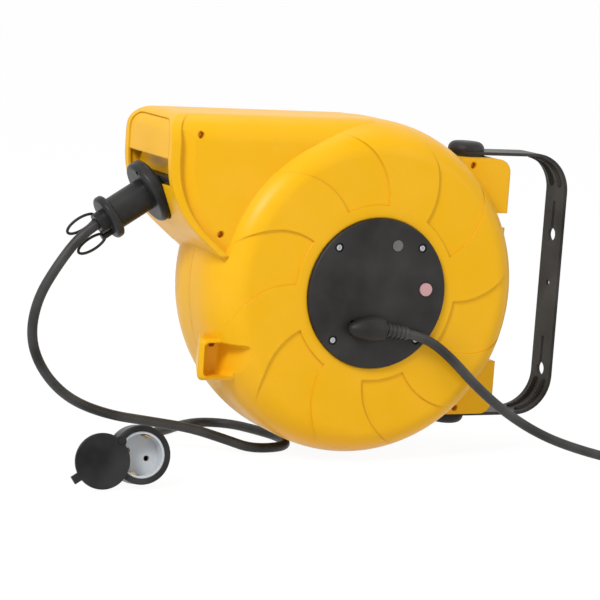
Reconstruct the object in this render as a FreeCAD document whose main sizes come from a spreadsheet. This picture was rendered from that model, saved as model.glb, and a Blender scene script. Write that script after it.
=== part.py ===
import FreeCAD
import Part
import Sketcher
import math
import os
import re
from FreeCAD import Vector

# A wall-mounted cord reel with a spring rewind. Millimetres, +Z up, -Y towards the front.
# The origin lies on the wall face of the bracket, level with the middle of its web.
# Shapes are drawn about the drum axis and then moved by -axis_to_wall along X.

document = FreeCAD.newDocument("cord_reel")
sizes = document.addObject("Spreadsheet::Sheet", "sizes")

ROWS = {
    "overall": {
        "axis_to_wall": "=drum_r + 69.5",
        "floor_drop": "=drum_r + 5",
        "slide_gap": 0.3,
        "run_gap": 0.05,
        "cord_dia": 9.3,
    },
    "housing": {
        "drum_r": 158.0,
        "drum_half": 69.0,
        "round_in": 30.0,
        "round_deep": 50.0,
        "shell_wall": 3.0,
        "spout_half": 54.0,
        "spout_round": 24.0,
        "mouth_left": "=drum_r + 49",
        "mouth_corner": 18.0,
        "mouth_bend_z": "=drum_r - 40",
        "mouth_bend_r": 90.0,
        "mouth_bend_deg": 50.0,
        "lip_wide": 9.0,
        "lip_proud": 3.0,
        "groove_wide": 15.0,
        "groove_deep": 2.2,
        "groove_slope": 11.0,
        "mouth_half": 49.0,
        "mouth_sill": "=drum_r - 97",
        "mouth_shoulder": "=mouth_sill + 32",
        "seat_gap": 1.0,
        "mouth_lintel": "=drum_r - 41",
        "plate_inset": 1.0,
        "plate_wall": 3.0,
        "baffle_deep": 10.0,
        "ear_right": "=drum_r - 5",
        "ear_half": 33.0,
        "ear_top": "=drum_r - 34.5",
        "ear_low": "=drum_r - 86",
        "ear_round": 13.0,
        "pad_right": "=drum_r - 6.5",
        "pad_half": "=drum_r - 100",
    },
    "lug": {
        "lug_left": "=drum_r + 8",
        "lug_right": "=drum_r - 48",
        "lug_front": "=drum_half - 19",
        "lug_back": 28.0,
        "lug_back_left": "=drum_r - 23",
        "lug_top": 45.0,
        "lug_low": 84.0,
        "lug_round": 5.0,
        "lug_screw_x": "=lug_left - 21",
        "lug_screw_z": 52.5,
        "pocket_floor": "=drum_half - 39",
        "pocket_left": "=lug_left - 14.5",
        "pocket_right": "=lug_left - 27",
        "pocket_flare_left": "=lug_left - 6",
        "pocket_flare_right": "=lug_left - 44",
        "pocket_rim": "=drum_half - 1",
        "pocket_side": 3.8,
        "pocket_round": 4.5,
    },
    "swirl": {
        "swirl_count": 6,
        "swirl_inner": 82.0,
        "swirl_fade": "=drum_r - 8.4",
        "swirl_deep": 1.8,
        "swirl_start_deg": 84.5,
        "swirl_wide_deg": 30.0,
        "swirl_round_deg": 23.0,
    },
    "shell_screws": {
        "shell_hole": 6.4,
        "shell_column": 11.0,
        "shell_thread": 3.0,
        "shell_head": 5.2,
        "shell_head_deep": 7.0,
        "shell_screw_end": 20.0,
        "spout_screw_x": "=mouth_left - 29",
        "spout_screw_z": "=drum_r - 18",
        "sill_screw_x": "=mouth_left - 54",
        "sill_screw_z": "=drum_r - 107",
        "ear_screw_x": "=pivot_x - 8.5",
        "ear_screw_z": "=ear_top - 6.5",
    },
    "front_cover": {
        "cover_rad": 70.0,
        "cover_proud": 4.0,
        "cover_seat": 1.0,
        "cover_wall": 2.5,
        "cover_rim": 4.0,
        "cup_rad": 57.5,
        "cup_wall": 2.5,
        "cup_floor": "=drum_half - 31",
        "cup_floor_wall": 2.0,
        "cover_screw_at": 42.9,
        "cover_boss_rad": 4.0,
        "screw_dia": 2.9,
        "screw_head": 5.2,
        "screw_head_tall": 1.6,
        "screw_long": 15.0,
        "recess_dia": 9.0,
        "recess_deep": 2.0,
        "lens_x": 16.7,
        "lens_z": 45.2,
        "lens_dia": 10.4,
        "button_x": 49.1,
        "button_z": 4.4,
        "button_dia": 12.2,
        "button_proud": 1.8,
        "button_stroke": 1.5,
        "hood_rad": 11.5,
        "hood_out": "=drum_half + 10",
        "hood_drop": 31.5,
        "hood_end": 3.5,
        "hood_long": 34.5,
        "hood_wall": 2.5,
        "hood_nose": 28.0,
    },
    "boot": {
        "boot_neck": 12.0,
        "boot_long": 28.0,
        "boot_tip": 10.6,
        "boot_tilt": 10.0,
        "boot_ribs": 6,
        "boot_rib_tall": 0.9,
    },
    "drum": {
        "flange_rad": "=drum_r - 18",
        "flange_front": "=drum_half - 36",
        "flange_rear": "=drum_half - 39",
        "flange_wall": 3.0,
        "hub_rad": 62.0,
        "hub_wall": 3.0,
        "wound_rad": 102.0,
        "axle_dia": 16.0,
        "axle_front": "=drum_half - 7",
        "axle_seat": "=drum_half - 13",
        "axle_boss_lap": 2.0,
        "end_screw": 6.0,
        "bush_wall": 2.5,
        "bush_long": 12.0,
        "hub_core": 14.0,
        "spring_case_rad": 75.0,
        "spring_case_deep": 27.0,
        "spring_wall": 2.0,
        "spring_strip": 1.2,
        "spring_turns": 14,
        "ratchet_rad": 96.0,
        "ratchet_tooth": 6.0,
        "ratchet_teeth": 12,
        "ratchet_thick": 6.0,
        "pawl_x": 35.0,
        "pawl_z": 112.0,
        "pawl_thick": 5.0,
        "pawl_pin_dia": 6.0,
        "pawl_reach": 28.0,
        "pawl_lean_deg": 152.0,
        "pawl_tail": 14.0,
        "pawl_nose": 4.0,
        "pawl_shelf": "=drum_half - 27",
        "collector_front": "=drum_half - 10.5",
        "collector_rad": 14.6,
        "collector_core": 13.0,
        "ring_rad": 14.0,
        "ring_wide": 4.0,
        "ring_step": 6.5,
    },
    "bracket": {
        "strap_wide": 35.0,
        "strap_thick": 3.0,
        "strap_bend": 38.0,
        "washer_thick": 2.0,
        "washer_dia": 36.0,
        "pivot_x": "=drum_r - 37",
        "strap_past_pivot": 13.0,
        "strap_corner": 9.0,
        "bolt_dia": 6.0,
        "bolt_hole": 6.6,
        "knob_dia": 35.0,
        "knob_tall": 8.5,
        "nut_flats": 10.0,
        "nut_tall": 5.0,
        "nut_depth": 9.0,
        "slot_spacing": 134.0,
        "slot_long": 28.5,
        "slot_wide": 4.5,
        "keyhole_dia": 12.5,
        "middle_hole": 6.0,
        "rib_rad": 2.6,
        "rib_space": 15.0,
        "rib_start_deg": 12.0,
    },
    "stopper": {
        "stop_tilt": 32.7,
        "stop_rise": 17.0,
        "stop_rad": 30.0,
        "stop_inner": 5.7,
        "stop_thick": 13.0,
        "barrel_rad": 15.2,
        "barrel_long": 35.0,
        "collar_rad": 21.0,
        "collar_thick": 8.0,
        "eye_up": 23.5,
        "eye_front": 11.4,
        "eye_dia": 4.0,
        "post_rad": 3.2,
        "post_long": 10.5,
        "stop_round": 4.0,
        "collar_round": 3.0,
        "stop_bore": 9.5,
        "lead_straight": 40.0,
        "nub_rad": 10.0,
        "nub_long": 9.0,
        "guide_top": "=mouth_sill + 39",
        "guide_hole": 12.0,
        "guide_deep": 26.0,
        "loop_end": 86.5,
        "loop_long": 31.8,
        "loop_wide": 13.5,
        "loop_back": 6.3,
        "loop_up": 6.6,
        "loop_down": 14.8,
        "loop_wire": 2.6,
    },
    "coupling": {
        "coupling_x": -246.4,
        "coupling_y": -128.0,
        "coupling_z": "=30.4 - floor_drop",
        "coupling_yaw": -5.6,
        "coupling_lift": -11.0,
        "ring_out": 26.0,
        "grip_rad": 20.5,
        "tail_rad": 8.0,
        "coupling_long": 90.0,
        "insert_rad": 20.5,
        "insert_wall": 2.0,
        "insert_front": 1.0,
        "well_deep": 17.5,
        "contact_apart": 19.0,
        "contact_turn": -22.0,
        "contact_hole": 5.2,
        "lid_rad": 24.5,
        "lid_thick": 3.2,
        "lid_pivot_rad": 23.4,
        "lid_pivot_deg": 149.1,
        "lid_open_deg": 102.0,
        "lid_eye": 5.0,
        "lid_pin_dia": 2.4,
        "lid_pin_long": 10.0,
        "lid_pin_head": 1.2,
        "lid_tab_deg": 46.0,
        "lid_tab_long": 6.5,
        "lid_tab_wide": 7.5,
    },
    "supply": {
        "coil_x": 350.0,
        "coil_y": -48.0,
        "coil_rad": 55.0,
        "coil_turns": 1.75,
        "coil_gap": 0.8,
        "coil_end_turns": 1.5,
        "coil_climb": 32.0,
        "plug_chord": 34.0,
        "plug_rad": 18.5,
        "plug_long": 34.0,
        "plug_tail": 20.0,
        "pin_dia": 4.8,
        "pin_long": 19.0,
        "pin_apart": 19.0,
        "pin_root": 4.0,
        "pin_root_long": 12.0,
    },
}

LINES = [(alias, amount) for rows in ROWS.values() for alias, amount in rows.items()]
for line, (alias, amount) in enumerate(LINES, 1):
    sizes.set(f"A{line}", alias)
    sizes.setAlias(f"B{line}", alias)
for line, (alias, amount) in enumerate(LINES, 1):
    sizes.set(f"B{line}", str(amount))
document.recompute()

ALIASES = re.compile(r"\b(" + "|".join(alias for alias, amount in LINES) + r")\b")
probe = document.addObject("App::FeaturePython", "probe")
probe.addProperty("App::PropertyFloat", "amount")
nodes = []


def bound(text):
    """The expression with each alias named in its sheet."""
    return ALIASES.sub(r"sizes.\1", str(text))


def worth(text):
    """The number that an expression in aliases gives."""
    probe.setExpression("amount", bound(text))
    probe.recompute()
    return probe.amount


def place(thing, x="0", y="0", z="0", yaw="0", pitch="0", roll="0"):
    """Binds a thing's place and turn to the sheet."""
    spot = f"vector({x}; {y}; {z}); rotation({yaw}; {pitch}; {roll})"
    thing.setExpression("Placement", bound(f"placement({spot})"))
    return thing


def node(thing, name, moved=True):
    """Names a finished sub-part; it was drawn about the drum axis unless moved is False."""
    thing.Label = name
    if moved:
        place(thing, "-axis_to_wall")
    nodes.append(thing)
    return thing


def add(kind, name, **expressions):
    """A Part primitive with its sizes bound."""
    thing = document.addObject(kind, name)
    for key, text in expressions.items():
        thing.setExpression(key, bound(text))
    return thing


def block(name, wide, deep, tall, x, y, z):
    """A box by its size and its lowest corner."""
    return place(add("Part::Box", name, Length=wide, Width=deep, Height=tall), x, y, z)


def rod(name, radius, length, x="0", y="0", z="0", yaw="0", pitch="0", roll="0"):
    """A cylinder that starts at the point; roll -90 points it along +Y, pitch 90 along +X."""
    return place(add("Part::Cylinder", name, Radius=radius, Height=length), x, y, z, yaw, pitch, roll)


def fuse(name, *things):
    made = document.addObject("Part::MultiFuse", name)
    made.Shapes = list(things)
    return made


def cut(name, base, *tools):
    made = document.addObject("Part::Cut", name)
    made.Base = base
    made.Tool = tools[0] if len(tools) == 1 else fuse(name + "_tools", *tools)
    return made


def common(name, base, tool):
    made = document.addObject("Part::Common", name)
    made.Base = base
    made.Tool = tool
    return made


def together(name, *things):
    """Separate solids that share one node."""
    made = document.addObject("Part::Compound", name)
    made.Links = list(things)
    return made


def drawn(name, shape):
    """A shape that code has made, drawn about the drum axis."""
    made = document.addObject("Part::Feature", name)
    made.Shape = shape
    return made


def origin_plane(body, role):
    return [one for one in body.Origin.OriginFeatures if one.Role == role][0]


def sketch_on(body, role, corners, shift=None):
    """A closed outline of straight lines whose corners are bound to the sheet."""
    sketch = body.newObject("Sketcher::SketchObject", body.Name + "_outline")
    sketch.AttachmentSupport = [(origin_plane(body, role), "")]
    sketch.MapMode = "FlatFace"
    if shift:
        sketch.setExpression("AttachmentOffset.Base.z", bound(shift))
    spots = [(worth(across), worth(up)) for across, up in corners]
    count = len(corners)
    for index in range(count):
        start = Vector(*spots[index], 0)
        end = Vector(*spots[(index + 1) % count], 0)
        sketch.addGeometry(Part.LineSegment(start, end))
    for index in range(count):
        sketch.addConstraint(Sketcher.Constraint("Coincident", index, 2, (index + 1) % count, 1))
    for index, texts in enumerate(corners):
        for kind, text, amount, axis in zip(("DistanceX", "DistanceY"), texts, spots[index], (-2, -1)):
            if abs(amount) < 1e-9:
                sketch.addConstraint(Sketcher.Constraint("PointOnObject", index, 1, axis))
                continue
            held = sketch.addConstraint(Sketcher.Constraint(kind, -1, 1, index, 1, amount))
            sketch.setExpression(f"Constraints[{held}]", bound(text))
    return sketch


def turned(name, *corners, degrees=360):
    """A body turned about the Y axis from corners given as (radius, y)."""
    body = document.addObject("PartDesign::Body", name)
    outline = sketch_on(body, "XY_Plane", corners)
    spin = body.newObject("PartDesign::Revolution", name + "_turned")
    spin.Profile = outline
    spin.ReferenceAxis = (outline, ["V_Axis"])
    spin.Angle = degrees
    document.recompute()
    return body


def softened(body, radius, *rims):
    """Rounds the round rims given as (radius, y)."""
    spots = [(worth(across), worth(along)) for across, along in rims]
    tip = body.Tip
    names = []
    for index, edge in enumerate(tip.Shape.Edges, 1):
        if not isinstance(edge.Curve, Part.Circle):
            continue
        for across, along in spots:
            if abs(edge.Curve.Radius - across) < 1e-4 and abs(edge.Curve.Center.y - along) < 1e-4:
                names.append(f"Edge{index}")
    round_off = body.newObject("PartDesign::Fillet", body.Name + "_soft")
    round_off.Base = (tip, names)
    round_off.setExpression("Radius", bound(radius))
    body.Tip = round_off
    document.recompute()
    return body


def polar(radius, degrees, y=0.0):
    return Vector(radius * math.cos(math.radians(degrees)), y, radius * math.sin(math.radians(degrees)))


def line_face(points):
    return Part.Face(Part.makePolygon(list(points) + [points[0]]))


# Free cords and cables: straight runs joined by tangent arcs, and a coil of biarcs.
def bend(start, corner, end):
    """The arc that leaves start towards the corner and reaches end coming from it."""
    middle = (start + end) / 2
    if (middle - corner).Length < 1e-5:
        return Part.makeLine(start, end)
    spread = 1 + (end - start).Length / 2 / (corner - start).Length
    return Part.Arc(start, corner + (middle - corner) / spread, end).toShape()


def rounded_run(points):
    """Straight runs between the points, with each corner rounded."""
    edges = []
    begin = points[0]
    for before, corner, after in zip(points, points[1:], points[2:]):
        reach = 0.45 * min((corner - before).Length, (after - corner).Length)
        near = corner + (before - corner).normalize() * reach
        far = corner + (after - corner).normalize() * reach
        edges.append(Part.makeLine(begin, near))
        edges.append(bend(near, corner, far))
        begin = far
    edges.append(Part.makeLine(begin, points[-1]))
    return edges


def biarc(start, heading, end, ending):
    """Two arcs that join two points and keep the heading at each."""
    gap = end - start
    both = heading + ending
    square = 2 * (heading * ending - 1)
    line = -2 * (gap * both)
    flat = gap * gap
    if abs(square) < 1e-9:
        reach = -flat / line
    else:
        reach = (-line - math.sqrt(line * line - 4 * square * flat)) / (2 * square)
    first = start + heading * reach
    second = end - ending * reach
    joint = (first + second) / 2
    return [bend(start, first, joint), bend(joint, second, end)]


def tube(name, edges, radius):
    """A solid tube along the edges; prints how it compares with its plain section."""
    wire = Part.Wire(edges)
    first = edges[0]
    heading = first.tangentAt(first.FirstParameter)
    ring = Part.Wire(Part.makeCircle(radius, first.valueAt(first.FirstParameter), heading))
    made = wire.makePipeShell([ring], True, False)
    plain = math.pi * radius * radius * wire.Length
    tightest = min([edge.Curve.Radius for edge in edges if isinstance(edge.Curve, Part.Circle)] or [0])
    print(f"{name}: length {wire.Length:.0f} mm, tightest radius {tightest:.0f} mm, "
          f"volume {made.Volume / plain:.4f} of section times length")
    return made


def points_of(*spots):
    return [Vector(*spot) for spot in spots]


# Housing: two plastic shells that part at the middle plane.
drum_r = worth("drum_r")
drum_half = worth("drum_half")
shell_wall = worth("shell_wall")
mouth_left = worth("mouth_left")
mouth_corner = worth("mouth_corner")
mouth_bend_r = worth("mouth_bend_r")
mouth_bend_z = worth("mouth_bend_z")
mouth_bend_deg = worth("mouth_bend_deg")
spout_half = worth("spout_half")
spout_round = worth("spout_round")
round_in = worth("round_in")
round_deep = worth("round_deep")
BEND = Vector(mouth_bend_r - mouth_left, 0, mouth_bend_z)
FAR = 400.0


def skin_y(radius):
    """How far the drum's skin stands from the middle plane at a radius."""
    across = (radius - (drum_r - round_in)) / round_in
    if across <= 0:
        return drum_half
    return drum_half - round_deep + round_deep * math.sqrt(max(0.0, 1 - across * across))


def drum_solid(inset, side):
    """Half of the round drum, with its skin moved in by inset."""
    middle = Vector(drum_r - round_in, side * (drum_half - round_deep), 0)
    deep = Vector(0, side * (round_deep - inset), 0)
    wide = Vector(round_in - inset, 0, 0)
    corner = Part.Ellipse(middle + deep, middle + wide, middle).toShape(0, math.pi / 2)
    start = Vector(0, side * (drum_half - inset), 0)
    low = Vector(drum_r - inset, 0, 0)
    edges = [Part.makeLine(start, middle + deep), corner, Part.makeLine(middle + wide, low)]
    edges += [Part.makeLine(low, Vector(0, 0, 0)), Part.makeLine(Vector(0, 0, 0), start)]
    return Part.Face(Part.Wire(edges)).revolve(Vector(0, 0, 0), Vector(0, 1, 0), 360)


def spout_outline(inset):
    """The spout seen from the front, with its skin moved in by inset."""
    top = drum_r - inset
    left = mouth_left - inset
    corner = Vector(mouth_corner - mouth_left, 0, drum_r - mouth_corner)
    small = mouth_corner - inset
    large = mouth_bend_r - inset
    begin = Vector(corner.x, 0, top)
    turn = Vector(-left, 0, corner.z)
    bend_start = Vector(-left, 0, mouth_bend_z)
    bend_end = BEND + polar(large, 180 + mouth_bend_deg)
    heading = polar(1, 270 + mouth_bend_deg)
    inside = bend_end + heading * mouth_bend_r * 0.7
    edges = [Part.makeLine(Vector(0, 0, top), begin)]
    edges.append(Part.Arc(begin, corner + polar(small, 135), turn).toShape())
    edges.append(Part.makeLine(turn, bend_start))
    edges.append(Part.Arc(bend_start, BEND + polar(large, 180 + mouth_bend_deg / 2), bend_end).toShape())
    edges.append(Part.makeLine(bend_end, inside))
    edges.append(Part.makeLine(inside, Vector(0, 0, 0)))
    edges.append(Part.makeLine(Vector(0, 0, 0), Vector(0, 0, top)))
    return Part.Face(Part.Wire(edges))


def arch(half, rounding, top, side):
    """A bar along X whose upper outer corner is rounded, as the spout is across."""
    middle = Vector(-FAR, side * (half - rounding), top - rounding)
    high = Vector(-FAR, middle.y, top)
    slope = middle + Vector(0, side * rounding, rounding) * math.sqrt(0.5)
    slope.x = -FAR
    wide = Vector(-FAR, side * half, middle.z)
    foot = Vector(-FAR, side * half, -FAR)
    edges = [Part.makeLine(Vector(-FAR, 0, top), high), Part.Arc(high, slope, wide).toShape()]
    edges += [Part.makeLine(wide, foot), Part.makeLine(foot, Vector(-FAR, 0, -FAR))]
    edges.append(Part.makeLine(Vector(-FAR, 0, -FAR), Vector(-FAR, 0, top)))
    return Part.Face(Part.Wire(edges)).extrude(Vector(2 * FAR, 0, 0))


def spout_solid(inset, side):
    across = spout_half - inset
    whole = spout_outline(inset).extrude(Vector(0, side * across, 0))
    return whole.common(arch(across, spout_round - inset, drum_r - inset, side))


def lip_solid(side):
    """The raised band round the mouth."""
    across = spout_half + worth("lip_proud")
    shift = Vector(worth("lip_wide"), 0, 0)
    whole = spout_outline(0).extrude(Vector(0, side * across, 0))
    behind = whole.translated(shift)
    rounded = arch(across, spout_round + worth("lip_proud"), drum_r, side)
    left = Part.makeBox(mouth_left, 2 * FAR, FAR, Vector(-mouth_left, -FAR, worth("mouth_sill") - 30))
    return whole.cut(behind).common(rounded).common(left)


def groove_solid(side):
    """The hollow behind the lip, cut into the side of the spout."""
    lip = worth("lip_wide")
    depth = worth("groove_deep")
    slope = worth("groove_slope")
    start = Vector(0, side * (spout_half - depth), 0)
    whole = spout_outline(0)
    near = whole.translated(start + Vector(lip, 0, 0)).extrude(Vector(0, side * 3 * depth, 0))
    far = whole.translated(start + Vector(lip + worth("groove_wide") - slope, 0, 0))
    return near.cut(far.extrude(Vector(3 * slope, side * 3 * depth, 0)))


def ear_solid(up, side):
    """A block that carries one pivot; up is 1 for the top ear and -1 for the bottom one."""
    right = worth("ear_right")
    high = up * worth("ear_top")
    low = up * worth("ear_low")
    small = worth("ear_round")
    left = worth("pivot_x") - 2 * small
    spots = [Vector(left, 0, high), Vector(right, 0, high), Vector(right, 0, low), Vector(left, 0, low)]
    bar = line_face(spots).extrude(Vector(0, side * worth("ear_half"), 0))
    corner = [edge for edge in bar.Edges if vertical_at(edge, right, high)]
    return bar.makeFillet(small, corner)


def lug_solid(side):
    """The wedge that stands off the drum round the lower screw, in one shell."""
    front = -worth("lug_front")
    back = worth("lug_back")
    right = -worth("lug_right")
    low = -worth("lug_low")
    spots = [Vector(-worth("lug_left"), front, low), Vector(right, front, low), Vector(right, back, low),
             Vector(-worth("lug_back_left"), back, low)]
    wedge = line_face(spots).extrude(Vector(0, 0, worth("lug_low - lug_top")))
    hidden = [edge for edge in wedge.Edges
              if all(abs(one.Point.x - right) < 1e-6 for one in edge.Vertexes)
              or all(abs(one.Point.y - back) < 1e-6 for one in edge.Vertexes)]
    shown = [edge for edge in wedge.Edges if not any(edge.isSame(one) for one in hidden)]
    wedge = wedge.makeFillet(worth("lug_round"), shown)
    keep = Part.makeBox(2 * FAR, FAR, 2 * FAR, Vector(-FAR, 0 if side > 0 else -FAR, -FAR))
    return wedge.common(keep)


def pocket_solid(more):
    """The hollow in front of the lower screw, or with more than nought the wall round it."""
    floor = -worth("pocket_floor") + more
    rim = -worth("pocket_rim")
    front = -drum_half - 5
    side = worth("pocket_side") - more
    flare = worth("pocket_flare_left") - worth("pocket_left")
    reach = (front - floor) / (-worth("lug_front") - floor)
    spots = [(-worth("pocket_left") - flare * reach - more, front), (-worth("pocket_left") - more, floor),
             (-worth("pocket_right") + more, floor), (-worth("pocket_flare_right") + more, rim),
             (-worth("pocket_flare_right") + more, front)]
    low = -worth("lug_low") + side
    tall = worth("lug_low - lug_top") - 2 * side
    room = line_face([Vector(x, y, low) for x, y in spots]).extrude(Vector(0, 0, tall))
    deep = [edge for edge in room.Edges if any(abs(one.Point.y - floor) < 1e-6 for one in edge.Vertexes)]
    return room.makeFillet(worth("pocket_round"), deep)


def vertical_at(edge, x, z):
    """Whether an edge runs along Y at this x and z."""
    ends = [one.Point for one in edge.Vertexes]
    return all(abs(end.x - x) < 1e-6 and abs(end.z - z) < 1e-6 for end in ends)


def column(x, z, radius, near, far):
    """A round bar along Y between two depths."""
    return Part.makeCylinder(radius, far - near, Vector(x, near, z), Vector(0, 1, 0))


def pad_solid(side):
    """The flat-backed block between the two ears."""
    half = worth("pad_half")
    left = worth("pivot_x")
    deep = worth("ear_half")
    near = min(0, side * deep)
    return Part.makeBox(worth("pad_right") - left, deep, 2 * half, Vector(left, near, -half))


def outer_solid(side):
    spout = spout_solid(0, side).cut(groove_solid(side))
    ears = [ear_solid(1, side), ear_solid(-1, side), pad_solid(side)]
    return drum_solid(0, side).fuse([spout, lip_solid(side), lug_solid(side)] + ears)


def cavity_solid(side):
    return drum_solid(shell_wall, side).fuse(spout_solid(shell_wall, side))


def mouth_band(near, far, half, top, low, side):
    """The curved slab of the mouth between two depths under its skin."""
    across = Vector(0, side * FAR, 0)
    slab = spout_outline(near).extrude(across).cut(spout_outline(far).extrude(across))
    gate = Part.makeBox(FAR, 2 * FAR, top - low, Vector(-mouth_left - 20, -FAR, low))
    rounding = spout_round - (spout_half - half) if half < spout_half else spout_round
    return slab.common(arch(half, rounding, top, side)).common(gate)


def seat_bar(radius):
    """A bar along the stopper's axis, through the mouth's skin."""
    deep = worth("guide_deep")
    return Part.makeCylinder(radius, 2 * deep, STOP_AXIS + OUTWARD * deep, OUTWARD * -1)


TILT = worth("stop_tilt")
OUTWARD = polar(1, 180 + TILT)
ALONG = polar(1, 90 + TILT)
TOUCH = BEND + OUTWARD * mouth_bend_r
STOP_AXIS = TOUCH + ALONG * worth("stop_rise")
SEAT_RAD = worth("stop_rad + seat_gap")
PLATE_TOP = drum_r - (spout_half - worth("mouth_half")) - worth("plate_inset")
SHELL_SCREWS = {
    "spout_top": (-worth("spout_screw_x"), worth("spout_screw_z"), 1 - spout_half),
    "spout_low": (-worth("sill_screw_x"), worth("sill_screw_z"), 1 - spout_half),
    "ear_high": (worth("ear_screw_x"), worth("ear_screw_z"), -worth("ear_half")),
    "ear_low": (worth("ear_screw_x"), -worth("ear_screw_z"), -worth("ear_half")),
    "lug": (-worth("lug_screw_x"), -worth("lug_screw_z"), -worth("pocket_floor")),
}
hole_r = worth("shell_hole") / 2
column_r = worth("shell_column") / 2
thread_r = worth("shell_thread") / 2
SHELL_GAP = 0.05


def nut_room(up):
    """The six-sided pocket that traps a pivot nut between the shells."""
    flat = worth("nut_flats") / 2 + 2 * SHELL_GAP
    tall = worth("nut_tall") + 2 * SHELL_GAP
    low = worth("ear_top") - worth("nut_depth") - tall
    point = flat / math.cos(math.radians(30))
    ring = [Vector(worth("pivot_x") + point * math.cos(math.radians(60 * k)),
                   point * math.sin(math.radians(60 * k)), up * low) for k in range(6)]
    return line_face(ring).extrude(Vector(0, 0, up * tall))


def shell(side):
    """One housing shell; side is -1 for the front one and 1 for the rear one."""
    made = outer_solid(side).cut(cavity_solid(side))
    extra = []
    for x, z, front in SHELL_SCREWS.values():
        reach = side * (spout_half if z > 0 and x < 0 else worth("lug_front"))
        if x < 0:
            extra.append(column(x, z, column_r, min(0, reach), max(0, reach)).common(outer_solid(side)))
    if side < 0:
        extra.append(pocket_solid(shell_wall).common(outer_solid(side)))
        cup = worth("cup_rad") + worth("cup_wall")
        extra.append(column(0, 0, cup, -drum_half + shell_wall / 2, -worth("cup_floor") + worth("cup_floor_wall")))
    else:
        extra.append(column(0, 0, worth("hub_core"), worth("axle_seat"), drum_half - shell_wall / 2))
        extra.append(column(worth("pawl_x"), -worth("pawl_z"), worth("pawl_pin_dia"),
                            worth("pawl_shelf"), drum_half - shell_wall / 2))
    made = made.fuse(extra)
    bolt = worth("bolt_hole") / 2
    tools = [nut_room(up) for up in (1, -1)]
    for up in (1, -1):
        start = Vector(worth("pivot_x"), 0, up * (worth("ear_top") + 1))
        tools.append(Part.makeCylinder(bolt, worth("nut_depth") + worth("nut_tall") + 6, start, Vector(0, 0, -up)))
    for low, bar in ((worth("mouth_shoulder"), None), (0, seat_bar(SEAT_RAD))):
        band = mouth_band(-worth("lip_proud"), shell_wall + 0.4, worth("mouth_half"), PLATE_TOP, low, side)
        tools.append(band.common(bar) if bar else band)
    for x, z, front in SHELL_SCREWS.values():
        if side < 0:
            deep = front + worth("shell_head_deep")
            tools.append(column(x, z, hole_r, -FAR, deep))
            tools.append(column(x, z, thread_r + SHELL_GAP, deep - 1, 1))
        else:
            tools.append(column(x, z, thread_r + SHELL_GAP, -1, worth("shell_screw_end") + 2))
    if side < 0:
        tools += front_tools()
    else:
        axle_r = worth("axle_dia") / 2 + SHELL_GAP
        tools.append(column(0, 0, axle_r, worth("axle_seat") - 1, drum_half - shell_wall))
        tools.append(column(0, 0, worth("end_screw") / 2 + SHELL_GAP, drum_half - shell_wall - 1, drum_half + 1))
        pin = worth("pawl_pin_dia") / 2
        tools.append(column(worth("pawl_x"), -worth("pawl_z"), pin, worth("pawl_shelf") - 1, drum_half - shell_wall))
    made = made.cut(tools)
    return made.removeSplitter()


# Each point of a swirl's edge: its share of the way from the cover to the rim, and its turn.
SWIRL_LEAN = ((-0.013, 0.0), (0.303, 3.0), (0.553, 8.0), (0.763, 14.0), (0.947, 23.0))


def swirl_edge(start):
    """One curved edge of a swirl panel, as a spline through five points."""
    inner = worth("swirl_inner")
    edge = Part.BSplineCurve()
    edge.interpolate([polar(inner + (drum_r - inner) * share, start + turned_by, -FAR)
                      for share, turned_by in SWIRL_LEAN])
    return edge


def swirl_solids():
    """The shallow panels sunk in the front face; they fade out over the rounded edge."""
    inner = worth("swirl_inner")
    fade = worth("swirl_fade")
    deep = worth("swirl_deep")
    flat = drum_r - round_in
    steps = [flat + (fade - flat) * part for part in (0.0, 0.3, 0.6, 0.8, 1.0)]
    spots = [Vector(r, deep * (1 - ((r - flat) / (fade - flat)) ** 2) - skin_y(r), 0) for r in steps]
    curve = Part.BSplineCurve()
    curve.interpolate(spots)
    front = -drum_half - 10
    low = Vector(inner, deep - drum_half, 0)
    edges = [Part.makeLine(low, spots[0]), curve.toShape()]
    edges.append(Part.makeLine(spots[-1], Vector(spots[-1].x, front, 0)))
    edges.append(Part.makeLine(Vector(spots[-1].x, front, 0), Vector(inner, front, 0)))
    edges.append(Part.makeLine(Vector(inner, front, 0), low))
    band = Part.Face(Part.Wire(edges)).revolve(Vector(0, 0, 0), Vector(0, 1, 0), 360)
    made = []
    count = int(worth("swirl_count"))
    for index in range(count):
        start = worth("swirl_start_deg") + index * 360.0 / count
        near = swirl_edge(start)
        far = swirl_edge(start + worth("swirl_wide_deg"))
        middle = start + worth("swirl_wide_deg") / 2
        inside = Part.Arc(near.StartPoint, polar(inner - 1, middle, -FAR), far.StartPoint)
        outer = math.hypot(near.EndPoint.x, near.EndPoint.z)
        outside = Part.Arc(near.EndPoint, polar(outer, middle + worth("swirl_round_deg"), -FAR), far.EndPoint)
        rim = Part.Wire(Part.__sortEdges__([one.toShape() for one in (near, inside, far, outside)]))
        made.append(Part.Face(rim).extrude(Vector(0, FAR, 0)).common(band))
    return made


def front_tools():
    """What is cut from the front shell alone."""
    seat = worth("cover_rad") + 0.5
    ledge = -drum_half + worth("cover_seat")
    floor = -worth("cup_floor")
    tools = swirl_solids()
    tools.append(column(0, 0, seat, -drum_half - 5, ledge))
    cup = column(0, 0, worth("cup_rad"), -drum_half - 5, floor)
    at = worth("cover_screw_at")
    for x in (-at, at):
        for z in (-at, at):
            cup = cup.cut(column(x, z, worth("cover_boss_rad"), ledge, floor + 1))
            tools.append(column(x, z, worth("screw_dia") / 2 + SHELL_GAP, ledge - 1, ledge + worth("screw_long")))
    tools.append(cup)
    tools.append(column(0, 0, worth("collector_rad") + 1.3, floor - 1, floor + 5))
    tools.append(pocket_solid(0))
    return tools


node(drawn("front_shell", shell(-1)), "front_shell")
node(drawn("rear_shell", shell(1)), "rear_shell")

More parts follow.
